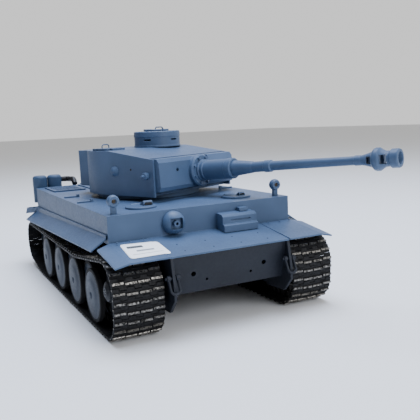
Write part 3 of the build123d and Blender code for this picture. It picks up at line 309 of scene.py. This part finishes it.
PITCH_NOMINAL, LINK_T, GROUSER_H = 8.125 * MM, 2.0 * MM, 1.5 * MM
track_low, track_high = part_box("track_left")
TRACK_W = track_high.x - track_low.x
track_x = (track_low.x + track_high.x) / 2
last_low, last_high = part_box("road_wheel_left_8")
wheel_r = (last_high.z - last_low.z) / 2
wrap_r = wheel_r + LINK_T / 2 + 0.7 * MM
pin_z = GROUSER_H + LINK_T / 2
sprocket_at = Vector(joints["sprocket_left_spin"]["pos_m"])
idler_at = Vector(joints["idler_left_spin"]["pos_m"])
idler_low, idler_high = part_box("idler_left")
idler_r = (idler_high.z - idler_low.z) / 2
SPROCKET_PITCH_R, SAG_R, SAG_TOP_Z = 26.0 * MM, 140.0 * MM, 55.9 * MM
SLACK_Y, SLACK_R = -148.0 * MM, 24.0 * MM

# The circles that the belt of links goes round, from the front along the ground: y, z and
# radius. It hangs slack under the sprocket, and its return run sags, bending the other way.
belt = [(SLACK_Y, pin_z + SLACK_R, SLACK_R),
        ((last_low.y + last_high.y) / 2, pin_z + wrap_r, wrap_r),
        (idler_at.y, idler_at.z, idler_r + 1.8 * MM),
        (-45 * MM, SAG_TOP_Z + SAG_R, -SAG_R),
        (sprocket_at.y, sprocket_at.z, SPROCKET_PITCH_R)]


def belt_route(circles, step):
    """Points along the belt, about a step apart: tangent runs joined by arcs."""
    tangents = []
    for (y1, z1, r1), (y2, z2, r2) in zip(circles, circles[1:] + circles[:1]):
        gap = hypot(y2 - y1, z2 - z1)
        turn = atan2(z2 - z1, y2 - y1) - pi / 2 + asin((r1 - r2) / gap)
        tangents.append(((y1 + r1 * cos(turn), z1 + r1 * sin(turn)),
                         (y2 + r2 * cos(turn), z2 + r2 * sin(turn)), turn))
    route = []
    for i, (start, end, turn) in enumerate(tangents):
        run = hypot(end[0] - start[0], end[1] - start[1])
        cuts = max(1, round(run / step))
        route += [(start[0] + (end[0] - start[0]) * k / cuts,
                   start[1] + (end[1] - start[1]) * k / cuts) for k in range(cuts)]
        y, z, r = circles[(i + 1) % len(circles)]
        sweep = (tangents[(i + 1) % len(tangents)][2] - turn + pi) % (2 * pi) - pi
        cuts = max(1, round(abs(r * sweep) / step))
        route += [(y + r * cos(turn + sweep * k / cuts), z + r * sin(turn + sweep * k / cuts))
                  for k in range(cuts)]
    return route


def new_tree(name, fields):
    """A geometry tree with its named inputs and one mesh out."""
    tree = bpy.data.node_groups.new(name, "GeometryNodeTree")
    tree.interface.new_socket("Geometry", in_out="OUTPUT", socket_type="NodeSocketGeometry")
    for label, kind in [("Geometry", "NodeSocketGeometry")] + fields:
        tree.interface.new_socket(label, in_out="INPUT", socket_type=kind)
    return tree, add(tree, "NodeGroupInput").outputs


def grown(name, start, tree, values):
    """The plain mesh that a tree makes from a starting object, which it uses up."""
    modifier = start.modifiers.new("tree", "NODES")
    modifier.node_group = tree
    for socket in tree.interface.items_tree:
        if socket.in_out == "INPUT" and socket.name in values:
            modifier[socket.identifier] = values[socket.name]
    bpy.context.view_layer.update()
    evaluated = start.evaluated_get(bpy.context.evaluated_depsgraph_get())
    mesh = bpy.data.meshes.new_from_object(evaluated)
    bpy.data.objects.remove(start)
    return placed(name, mesh)


def prisms(name, shapes, material, bevel=0.0):
    """One mesh of closed prisms, each an outline and the vector it is drawn out along."""
    bm = bmesh.new()
    for outline, depth in shapes:
        base = [bm.verts.new(Vector(point)) for point in outline]
        top = [bm.verts.new(Vector(point) + Vector(depth)) for point in outline]
        bm.faces.new(base)
        bm.faces.new(top)
        for i in range(len(base)):
            j = (i + 1) % len(base)
            bm.faces.new((base[i], base[j], top[j], top[i]))
    bmesh.ops.recalc_face_normals(bm, faces=bm.faces)
    mesh = bpy.data.meshes.new(name)
    bm.to_mesh(mesh)
    bm.free()
    mesh.materials.append(material)
    piece = placed(name, mesh)
    if bevel:
        rounding = piece.modifiers.new("rounding", "BEVEL")
        rounding.width, rounding.segments = bevel, 1
        bpy.context.view_layer.update()
        evaluated = piece.evaluated_get(bpy.context.evaluated_depsgraph_get())
        rounded = bpy.data.meshes.new_from_object(evaluated)
        piece.modifiers.clear()
        piece.data = rounded
    return piece


# One link: X across the track, Y along it, Z towards the wheels.
KNUCKLES, FINGER_GAP = 7, 0.35 * MM
finger = TRACK_W / KNUCKLES
long_reach, short_reach = PITCH_NOMINAL / 2 + 1.0 * MM, PITCH_NOMINAL / 2 - 1.3 * MM
comb = []
for end, start, order in ((1, 0, range(KNUCKLES)), (-1, 1, reversed(range(KNUCKLES)))):
    for i in order:
        reach = long_reach if (i + start) % 2 else short_reach
        edges = (i * finger + FINGER_GAP / 2, (i + 1) * finger - FINGER_GAP / 2)
        for x in edges if end > 0 else edges[::-1]:
            comb.append((x - TRACK_W / 2, end * reach, -LINK_T / 2))
plate = [(comb, (0, 0, LINK_T))]
BAR_BASE, BAR_TOP, BAR_DARK, BAR_SHIFT = 1.6 * MM, 1.1 * MM, 0.7 * MM, 0.7 * MM
ROW_MID, HALF_GAP = 11.4 * MM, 0.7 * MM
row_end = TRACK_W / 2 - 0.6 * MM
bar_ends = (-row_end, -ROW_MID - HALF_GAP, -ROW_MID + HALF_GAP, -HALF_GAP,
            HALF_GAP, ROW_MID - HALF_GAP, ROW_MID + HALF_GAP, row_end)
bars, caps = [], []
for i in range(4):
    x0, x1 = bar_ends[2 * i], bar_ends[2 * i + 1]
    shift = BAR_SHIFT if i in (1, 2) else -BAR_SHIFT / 3
    root, neck, tip = -LINK_T / 2, -LINK_T / 2 - BAR_DARK, -LINK_T / 2 - GROUSER_H
    bars.append(([(x0, shift - BAR_BASE, root), (x0, shift + BAR_BASE, root),
                  (x0, shift + BAR_TOP, neck), (x0, shift - BAR_TOP, neck)], (x1 - x0, 0, 0)))
    caps.append(([(x0, shift - BAR_TOP, neck), (x0, shift + BAR_TOP, neck),
                  (x0, shift + BAR_TOP - 0.2 * MM, tip), (x0, shift - BAR_TOP + 0.2 * MM, tip)],
                 (x1 - x0, 0, 0)))
HORN_X, HORN_W, HORN_H = 7.2 * MM, 2.4 * MM, 5.0 * MM
horns = [([(x - HORN_W / 2, -2.2 * MM, 0.9 * MM), (x - HORN_W / 2, 2.2 * MM, 0.9 * MM),
           (x - HORN_W / 2, 1.0 * MM, LINK_T / 2 + HORN_H),
           (x - HORN_W / 2, -1.0 * MM, LINK_T / 2 + HORN_H)], (HORN_W, 0, 0))
         for x in (HORN_X, -HORN_X)]
PIN_R, PIN_PROUD = 0.75 * MM, 0.25 * MM
pin_heads = [([(side * (TRACK_W / 2 - 0.1 * MM), PITCH_NOMINAL / 2 + PIN_R * cos(a),
                PIN_R * sin(a)) for a in (i * pi / 4 for i in range(8))],
              (side * PIN_PROUD, 0, 0)) for side in (1, -1)]
link_body = prisms("link_body", plate + bars + horns, link_black, 0.22 * MM)
link_bright = prisms("link_bright", caps + pin_heads, link_worn)

track_tree, given = new_tree("links on a belt", [
    ("Links", "NodeSocketInt"), ("Body", "NodeSocketObject"), ("Wear", "NodeSocketObject"),
    ("Black", "NodeSocketMaterial"), ("Bright", "NodeSocketMaterial")])
curve = add(track_tree, "GeometryNodeMeshToCurve", {"Mesh": given["Geometry"]})
spaced = add(track_tree, "GeometryNodeResampleCurve",
             {"Curve": curve.outputs["Curve"], "Count": given["Links"]})
tangent = add(track_tree, "GeometryNodeInputTangent")
turned = add(track_tree, "FunctionNodeAlignRotationToVector",
             {"Vector": tangent.outputs["Tangent"]}, axis="Y", pivot_axis="X")
joined = add(track_tree, "GeometryNodeJoinGeometry")
for shape, colour in (("Wear", "Bright"), ("Body", "Black")):
    source = add(track_tree, "GeometryNodeObjectInfo", {"Object": given[shape]})
    laid = add(track_tree, "GeometryNodeInstanceOnPoints",
               {"Points": spaced.outputs["Curve"], "Instance": source.outputs["Geometry"],
                "Rotation": turned.outputs["Rotation"]})
    solid = add(track_tree, "GeometryNodeRealizeInstances",
                {"Geometry": laid.outputs["Instances"]})
    dressed = add(track_tree, "GeometryNodeSetMaterial",
                  {"Geometry": solid.outputs["Geometry"], "Material": given[colour]})
    track_tree.links.new(dressed.outputs["Geometry"], joined.inputs["Geometry"])
add(track_tree, "NodeGroupOutput", {"Geometry": joined.outputs["Geometry"]})

route = belt_route(belt, 1.0 * MM)
belt_length = sum(hypot(b[0] - a[0], b[1] - a[1]) for a, b in zip(route, route[1:] + route[:1]))
for side, side_name in ((1, "left"), (-1, "right")):
    mesh = bpy.data.meshes.new("belt_line")
    mesh.from_pydata([(side * track_x, y, z) for y, z in route],
                     [(i, (i + 1) % len(route)) for i in range(len(route))], [])
    track = grown(f"track_links_{side_name}", placed("belt_line", mesh), track_tree,
                  {"Links": round(belt_length / PITCH_NOMINAL), "Body": link_body,
                   "Wear": link_bright, "Black": link_black, "Bright": link_worn})
    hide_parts(f"track_{side_name}")
    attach(track, "root")
for spare in (link_body, link_bright):
    bpy.data.objects.remove(spare)

# ---------------------------------------------------------------- drive sprockets
# Blackened cast sprockets, each held on its hub by a ring of small hexagon bolts in the same
# finish, which stand a fraction of a millimetre proud.
bolt_tree, given = new_tree("bolt heads", [
    ("Radius", "NodeSocketFloat"), ("Height", "NodeSocketFloat"), ("Sides", "NodeSocketInt"),
    ("Material", "NodeSocketMaterial")])
head = add(bolt_tree, "GeometryNodeMeshCone",
           {"Vertices": given["Sides"], "Radius Bottom": given["Radius"],
            "Depth": given["Height"]})
shoulder = add(bolt_tree, "ShaderNodeMath", {0: given["Radius"], 1: 0.78}, operation="MULTIPLY")
bolt_tree.links.new(shoulder.outputs["Value"], head.inputs["Radius Top"])
aim = add(bolt_tree, "GeometryNodeInputNamedAttribute", {"Name": "aim"},
          data_type="FLOAT_VECTOR")
turned = add(bolt_tree, "FunctionNodeAlignRotationToVector",
             {"Vector": aim.outputs["Attribute"]}, axis="Z")
set_out = add(bolt_tree, "GeometryNodeInstanceOnPoints",
              {"Points": given["Geometry"], "Instance": head.outputs["Mesh"],
               "Rotation": turned.outputs["Rotation"]})
solid = add(bolt_tree, "GeometryNodeRealizeInstances", {"Geometry": set_out.outputs["Instances"]})
dressed = add(bolt_tree, "GeometryNodeSetMaterial",
              {"Geometry": solid.outputs["Geometry"], "Material": given["Material"]})
add(bolt_tree, "NodeGroupOutput", {"Geometry": dressed.outputs["Geometry"]})


def bolts(name, body, points, radius, height, material, sides=6):
    """Bolt heads at points, each a place and the way its head faces."""
    mesh = bpy.data.meshes.new(name)
    mesh.from_pydata([place for place, facing in points], [], [])
    aims = mesh.attributes.new("aim", "FLOAT_VECTOR", "POINT")
    for item, (place, facing) in zip(aims.data, points):
        item.vector = Vector(facing).normalized()
    piece = grown(name, placed(name + "_points", mesh), bolt_tree,
                  {"Radius": radius, "Height": height, "Sides": sides, "Material": material})
    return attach(piece, body)


def ring_points(centre, facing, radius, count):
    """Places round a circle whose axis is the way they face."""
    facing = Vector(facing).normalized()
    across = facing.orthogonal().normalized()
    return [(Vector(centre) + radius * (Matrix.Rotation(i * 2 * pi / count, 3, facing) @ across),
             facing) for i in range(count)]


finish(sprocket_metal, "sprocket_left", "sprocket_right")
HUB_BOLT_RING, HUB_BOLT_R, HUB_BOLT_H, HUB_RECESS = 2.4 * MM, 0.6 * MM, 0.8 * MM, 0.4 * MM
for side, side_name in ((1, "left"), (-1, "right")):
    low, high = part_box(f"sprocket_{side_name}")
    at = Vector(joints[f"sprocket_{side_name}_spin"]["pos_m"])
    at.x = (high.x if side > 0 else low.x) - side * HUB_RECESS
    bolts(f"sprocket_{side_name}_bolts", f"drive_sprocket_{side_name}",
          ring_points(at, (side, 0, 0), HUB_BOLT_RING, 6), HUB_BOLT_R, HUB_BOLT_H,
          sprocket_metal)

# ---------------------------------------------------------------- works inside
# Shrink-wrapped cells and a green circuit board lie on the hull floor, and a speaker and the
# turret motor hang under the deck. Brass pinions in two gearboxes drive the sprockets, and a
# third turns the turret by its moulded nylon ring.


def moulded(name, colour, other, roughness, metallic=0.0, grain=1.2):
    """Moulded, turned or plated stock with a faint mottle."""
    material, tree, shader, place = new_material(name, metallic, roughness)
    mottle = noise(tree, place, grain * MM)
    tree.links.new(blended(tree, spread(tree, mottle, 0.3, 0.7), linear(colour), linear(other)),
                   shader.inputs["Base Color"])
    skin = add(tree, "ShaderNodeBump", {"Strength": 0.15, "Distance": 0.05 * MM,
                                        "Height": mottle})
    tree.links.new(skin.outputs["Normal"], shader.inputs["Normal"])
    return material


finish(moulded("shrink_wrapped_cells", "1D3566", "24427C", 0.35, grain=9), "battery_pack")
finish(moulded("green_circuit_board", "0E4A26", "14602F", 0.4, grain=4), "control_board")
black_abs = moulded("black_abs", "0B0B0C", "161617", 0.55)
finish(black_abs, "speaker", "switch_case", "switch_knob")
finish(moulded("plated_motor_steel", "9A9A9C", "B4B4B6", 0.3, 1.0), "gearboxes", "turret_motor")
finish(moulded("turned_brass", "B98F43", "CBA357", 0.28, 1.0), "motor_pinion_left",
       "motor_pinion_right", "turret_pinion")
finish(moulded("moulded_nylon", "D8D5CB", "E4E1D8", 0.45), "turret_ring_gear")
finish(moulded("blackened_screw_steel", "26272A", "3A3B3E", 0.35, 1.0), "hull_screws")

# ---------------------------------------------------------------- headlamps
# Two shielded driving lamps on short brackets: a turned ring in the hull's enamel holds a
# domed lens of smoked, warm brown plastic.
lens_glass = moulded("smoked_lens", "15110C", "3A2A14", 0.08)
lamp_low, lamp_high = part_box("headlamps")
LAMP_R, LAMP_FACE, LENS_DEEP = 5.8 * MM, 3.6 * MM, 2.0 * MM
front = (0, -1, 0)
for side, side_name in ((1, "left"), (-1, "right")):
    centre = Vector((side * (lamp_high.x - LAMP_R), lamp_low.y + LAMP_FACE - LENS_DEEP,
                     lamp_high.z - LAMP_R))
    rim = lathe(f"lamp_ring_{side_name}",
                [(2.7 * MM, -0.6 * MM), (3.9 * MM, -0.6 * MM), (4.2 * MM, 0.5 * MM),
                 (4.0 * MM, 1.1 * MM), (3.3 * MM, 1.3 * MM), (2.7 * MM, 0.8 * MM),
                 (2.7 * MM, -0.6 * MM)], centre, front, hull_enamel)
    lens = lathe(f"lamp_lens_{side_name}",
                 [(0, -0.3 * MM), (2.75 * MM, -0.3 * MM), (2.75 * MM, 0.1 * MM),
                  (1.6 * MM, 0.5 * MM), (0, 0.65 * MM)], centre, front, lens_glass)
    for piece in (rim, lens):
        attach(piece, "root")

# ---------------------------------------------------------------- screws and hinge bolts
# Low round screws hold the sloping nose plate, in the hull's enamel but coloured darker than it as
# painted shade round their heads, and each front mudguard hangs on three small hexagon bolts
# along its seam, in the hull's enamel.
nose_y, front_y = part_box("upper_hull")[0].y, -124.5 * MM
slope_low, slope_high = 71.1 * MM, 79.1 * MM
slope = (slope_high - slope_low) / (front_y - nose_y)
up_slope = Vector((0, -slope, 1))


def on_nose(x, y):
    """A point on the sloping nose plate."""
    return Vector((x, y, slope_low + (y - nose_y) * slope))


# Darker than the nose plate: painted shade round the screw heads.
screw_painted_shade = moulded("enamelled_screw_painted_shade", "2B3646", "3A4759", 0.5)
SCREW_R, SCREW_H, HINGE_BOLT, HINGE_Y, HINGE_Z = 0.7 * MM, 0.4 * MM, 1.0 * MM, -133 * MM, 79.4 * MM
screw_points = [(on_nose(x * MM, y * MM), up_slope)
                for x in (-42, -14, 14, 42) for y in (-168, -151)]
bolts("nose_screws", "root", screw_points, SCREW_R, SCREW_H, screw_painted_shade, 10)
hinge_points = [(Vector((side * x * MM, HINGE_Y, HINGE_Z)), up_slope)
                for side in (1, -1) for x in (66, 79, 91)]
bolts("mudguard_bolts", "root", hinge_points, HINGE_BOLT, HINGE_BOLT,
      hull_enamel)

# ---------------------------------------------------------------- skirt flanges
# The bent flange that the side skirts hang from: a pressed strip along each hull side, with
# stepped tabs along its lower edge, deeper towards the rear where the skirts drop.
FLANGE_Y0, FLANGE_Y1, FLANGE_X, FLANGE_T = -122.0, 189.0, 97.4, 1.2
FLANGE_TOP_FRONT, FLANGE_TOP_REAR, SKIRT_TOP, SKIRT_FALL = 86.0, 78.4, 81.9, 12.0 / 320.0
TABS, TAB_SHARE, TAB_STEP = 11, 0.72, 0.9
for side, side_name in ((1, "left"), (-1, "right")):
    step = (FLANGE_Y1 - FLANGE_Y0) / TABS
    lower = []
    for i in range(TABS):
        y0, y1 = FLANGE_Y0 + i * step, FLANGE_Y0 + (i + 1) * step
        for y, drop in ((y0, 0), (y0 + TAB_SHARE * step, 0),
                        (y0 + (TAB_SHARE + 0.02) * step, TAB_STEP), (y1 - 0.02 * step, TAB_STEP)):
            lower.append((y, SKIRT_TOP - SKIRT_FALL * (y - FLANGE_Y0) - drop))
    outline = [(FLANGE_Y1, FLANGE_TOP_REAR), (FLANGE_Y0, FLANGE_TOP_FRONT)] + lower
    outline.append((FLANGE_Y1, lower[-1][1]))
    strip = prisms(f"skirt_flange_{side_name}",
                   [([(side * FLANGE_X * MM, y * MM, z * MM) for y, z in outline],
                     (-side * FLANGE_T * MM, 0, 0))], hull_enamel)
    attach(strip, "root")

# ---------------------------------------------------------------- periscopes and ports
# Black glass in the two deck periscopes, and a small black disc on each turret side wall, painted
# shade for the dark inside of a round port.
black_glass_and_painted_port_shade = moulded("black_glass_and_painted_port_shade", "050607", "0B0C0E", 0.12)
PANE_Y, PANE_FOOT, PANE_T = -98.8, 105.5, 0.6
for body, x0, x1, top in (("radio_lid", -50.4, -42.6, 108.3), ("driver_lid", 54.6, 59.9, 107.2)):
    pane = prisms(f"{body}_periscope",
                  [([(x * MM, PANE_Y * MM, z * MM) for x, z in
                     ((x0, PANE_FOOT), (x1, PANE_FOOT), (x1, top - 0.7), (x1 - 0.9, top),
                      (x0 + 0.9, top), (x0, top - 0.7))], (0, PANE_T * MM, 0))],
                  black_glass_and_painted_port_shade)
    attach(pane, body)
TURRET_REST = radians(24.4)
PORT_X, PORT_Y, PORT_Z, PORT_R = 64.0 * MM, -38.0 * MM, 136.0 * MM, 1.2 * MM
to_hull = (Matrix.Translation((0, joints["turret_turn"]["pos_m"][1], 0))
           @ Matrix.Rotation(TURRET_REST, 4, "Z"))
for side in (1, -1):
    port = to_hull @ Vector((side * PORT_X, PORT_Y, PORT_Z))
    outward = to_hull.to_3x3() @ Vector((side, 0, 0))
    # A black disc proud of the wall: painted shade for the dark inside of the port.
    disc = lathe(f"turret_port_{'left' if side > 0 else 'right'}",
                 [(0, 0.25 * MM), (PORT_R - 0.1 * MM, 0.25 * MM), (PORT_R, 0), (0, 0)],
                 port, outward, black_glass_and_painted_port_shade, 16)
    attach(disc, "turret")

# ---------------------------------------------------------------- paper label
# A blank paper price label, stuck across the seam of the right mudguard and the nose plate,
# with three printed grey bars and no writing. It bridges the step, so it isn't quite flat.
LABEL_ACROSS, LABEL_ALONG, CORNER_U, CORNER_V = 26, 16, 0.08, 0.14
PAPER_T, SEAM_DROP, OVERHEAD = 0.12 * MM, 1.5 * MM, 0.2
label_corners = [Vector((-92, -171, 0)), Vector((-55, -170, 0)), Vector((-55, -137, 0)),
                 Vector((-89.5, -133.5, 0))]
material, tree, shader, place = new_material("matt_label_paper", 0.0, 0.62)
seen = add(tree, "ShaderNodeUVMap", uv_map="label")
apart = add(tree, "ShaderNodeSeparateXYZ", {"Vector": seen.outputs["UV"]})


def within(tree, value, centre, half):
    """1 where a value is inside a band."""
    return add(tree, "ShaderNodeMath", {0: value, 1: centre, 2: half},
               operation="COMPARE").outputs["Value"]


def product(tree, first, second):
    """The product of two values."""
    return add(tree, "ShaderNodeMath", {0: first, 1: second},
               operation="MULTIPLY").outputs["Value"]


ink = linear("F2F4F3")
for centre_u, half_u, centre_v, half_v, shade in (
        (0.32, 0.2, 0.74, 0.075, "4A4D50"), (0.5, 0.22, 0.46, 0.05, "8A8E91"),
        (0.5, 0.38, 0.24, 0.02, "B9BCBE")):
    bar = product(tree, within(tree, apart.outputs["X"], centre_u, half_u),
                  within(tree, apart.outputs["Y"], centre_v, half_v))
    ink = blended(tree, bar, ink, linear(shade))
tree.links.new(ink, shader.inputs["Base Color"])
fibre = add(tree, "ShaderNodeBump", {"Strength": 0.2, "Distance": 0.05 * MM,
                                     "Height": noise(tree, place, 0.8 * MM)})
tree.links.new(fibre.outputs["Normal"], shader.inputs["Normal"])


def label_point(u, v):
    """A point of the label laid flat, in metres; u and v run from 0 to 1 along its edges."""
    a, b, c, d = label_corners
    return ((a * (1 - u) + b * u) * (1 - v) + (d * (1 - u) + c * u) * v) * MM


def resting_height(x, y):
    """The highest painted surface under a point, or the nose plate's slope over the seam."""
    heights = [on_nose(x, y).z - SEAM_DROP]
    for name in ("mudguards", "upper_hull"):
        hit, where, facing, face = nodes[name].ray_cast(Vector((x, y, OVERHEAD)),
                                                        Vector((0, 0, -1)))
        if hit:
            heights.append(where.z)
    return max(heights)


bm = bmesh.new()
uv_layer = bm.loops.layers.uv.new("label")
grid = []
for j in range(LABEL_ALONG + 1):
    row = []
    for i in range(LABEL_ACROSS + 1):
        u, v = i / LABEL_ACROSS, j / LABEL_ALONG
        # Draws the four corners in, to round them.
        du = max(0, abs(u - 0.5) - 0.5 + CORNER_U) / CORNER_U
        dv = max(0, abs(v - 0.5) - 0.5 + CORNER_V) / CORNER_V
        pull = max(1, hypot(du, dv))
        if du and dv:
            u = 0.5 + copysign(0.5 - CORNER_U + CORNER_U * du / pull, u - 0.5)
            v = 0.5 + copysign(0.5 - CORNER_V + CORNER_V * dv / pull, v - 0.5)
        flat = label_point(u, v)
        row.append((bm.verts.new((flat.x, flat.y, resting_height(flat.x, flat.y))), (u, v)))
    grid.append(row)
for j in range(LABEL_ALONG):
    for i in range(LABEL_ACROSS):
        corners = (grid[j][i], grid[j][i + 1], grid[j + 1][i + 1], grid[j + 1][i])
        face = bm.faces.new([vertex for vertex, uv in corners])
        face.smooth = True
        for loop, (vertex, uv) in zip(face.loops, corners):
            loop[uv_layer].uv = uv
rest = {vertex: vertex.co.z for vertex in bm.verts}
for turn in range(6):
    bmesh.ops.smooth_vert(bm, verts=bm.verts, factor=0.5, use_axis_x=False, use_axis_y=False,
                          use_axis_z=True)
    for vertex in bm.verts:
        vertex.co.z = max(vertex.co.z, rest[vertex] + PAPER_T)
mesh = bpy.data.meshes.new("paper_label")
bm.to_mesh(mesh)
bm.free()
mesh.materials.append(material)
label = placed("paper_label", mesh)
thickness = label.modifiers.new("paper", "SOLIDIFY")
thickness.thickness, thickness.offset = PAPER_T, 1.0
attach(label, "root")

# ---------------------------------------------------------------- stand, light and camera
# A pale floor and soft light from broad lamps, brightest and coolest from straight above, with
# a weaker one in front.
floor_material, tree, shader, place = new_material("pale_floor", 0.0, 0.9)
shader.inputs["Base Color"].default_value = linear("EAEAEA")
floor_mesh = bpy.data.meshes.new("floor")
floor_mesh.from_pydata([(-8, -8, 0), (8, -8, 0), (8, 12, 0), (-8, 12, 0)], [], [(0, 1, 2, 3)])
floor_mesh.materials.append(floor_material)
placed("floor", floor_mesh)

world = bpy.data.worlds.new("studio")
world.use_nodes = True
sky = world.node_tree.nodes["Background"]
sky.inputs["Color"].default_value = linear("FFFFFF")
# Darker on the tank's right, as if a black screen stood there out of sight.
toward = add(world.node_tree, "ShaderNodeSeparateXYZ",
             {"Vector": add(world.node_tree, "ShaderNodeTexCoord").outputs["Generated"]})
world.node_tree.links.new(spread(world.node_tree, toward.outputs["X"], -0.35, 0.1, 0.2, 0.95),
                          sky.inputs["Strength"])
bpy.context.scene.world = world


def lamp(name, place, aim, size, watts, colour):
    """A square soft lamp that points at a place."""
    light = bpy.data.lights.new(name, "AREA")
    light.energy, light.size, light.color = watts, size, linear(colour)[:3]
    stand = bpy.data.objects.new(name, light)
    stand.location = place
    stand.rotation_euler = (Vector(aim) - Vector(place)).to_track_quat("-Z", "Y").to_euler()
    bpy.context.scene.collection.objects.link(stand)


middle = (0, 0, 0.09)
lamp("overhead", (0.1, 0.1, 1.6), middle, 1.2, 56, "D6E4FF")
lamp("front", (0.5, -1.7, 0.9), middle, 0.9, 17, "F2F6FF")

camera = bpy.data.cameras.new("camera")
camera.sensor_width, camera.lens = 36.0, 49.56
viewer = bpy.data.objects.new("camera", camera)
CAMERA_AT = Vector((-242.6, -611.8, 179.6)) * MM
AHEAD = Vector((0.4492, 0.8811, -0.1478)).normalized()
RIGHT = Vector((0.8871, -0.4596, -0.0437))
RIGHT = (RIGHT - RIGHT.dot(AHEAD) * AHEAD).normalized()
upward = RIGHT.cross(AHEAD)
axes = Matrix((RIGHT, upward, -AHEAD)).transposed()
viewer.matrix_world = Matrix.Translation(CAMERA_AT) @ axes.to_4x4()
bpy.context.scene.collection.objects.link(viewer)
bpy.context.scene.camera = viewer
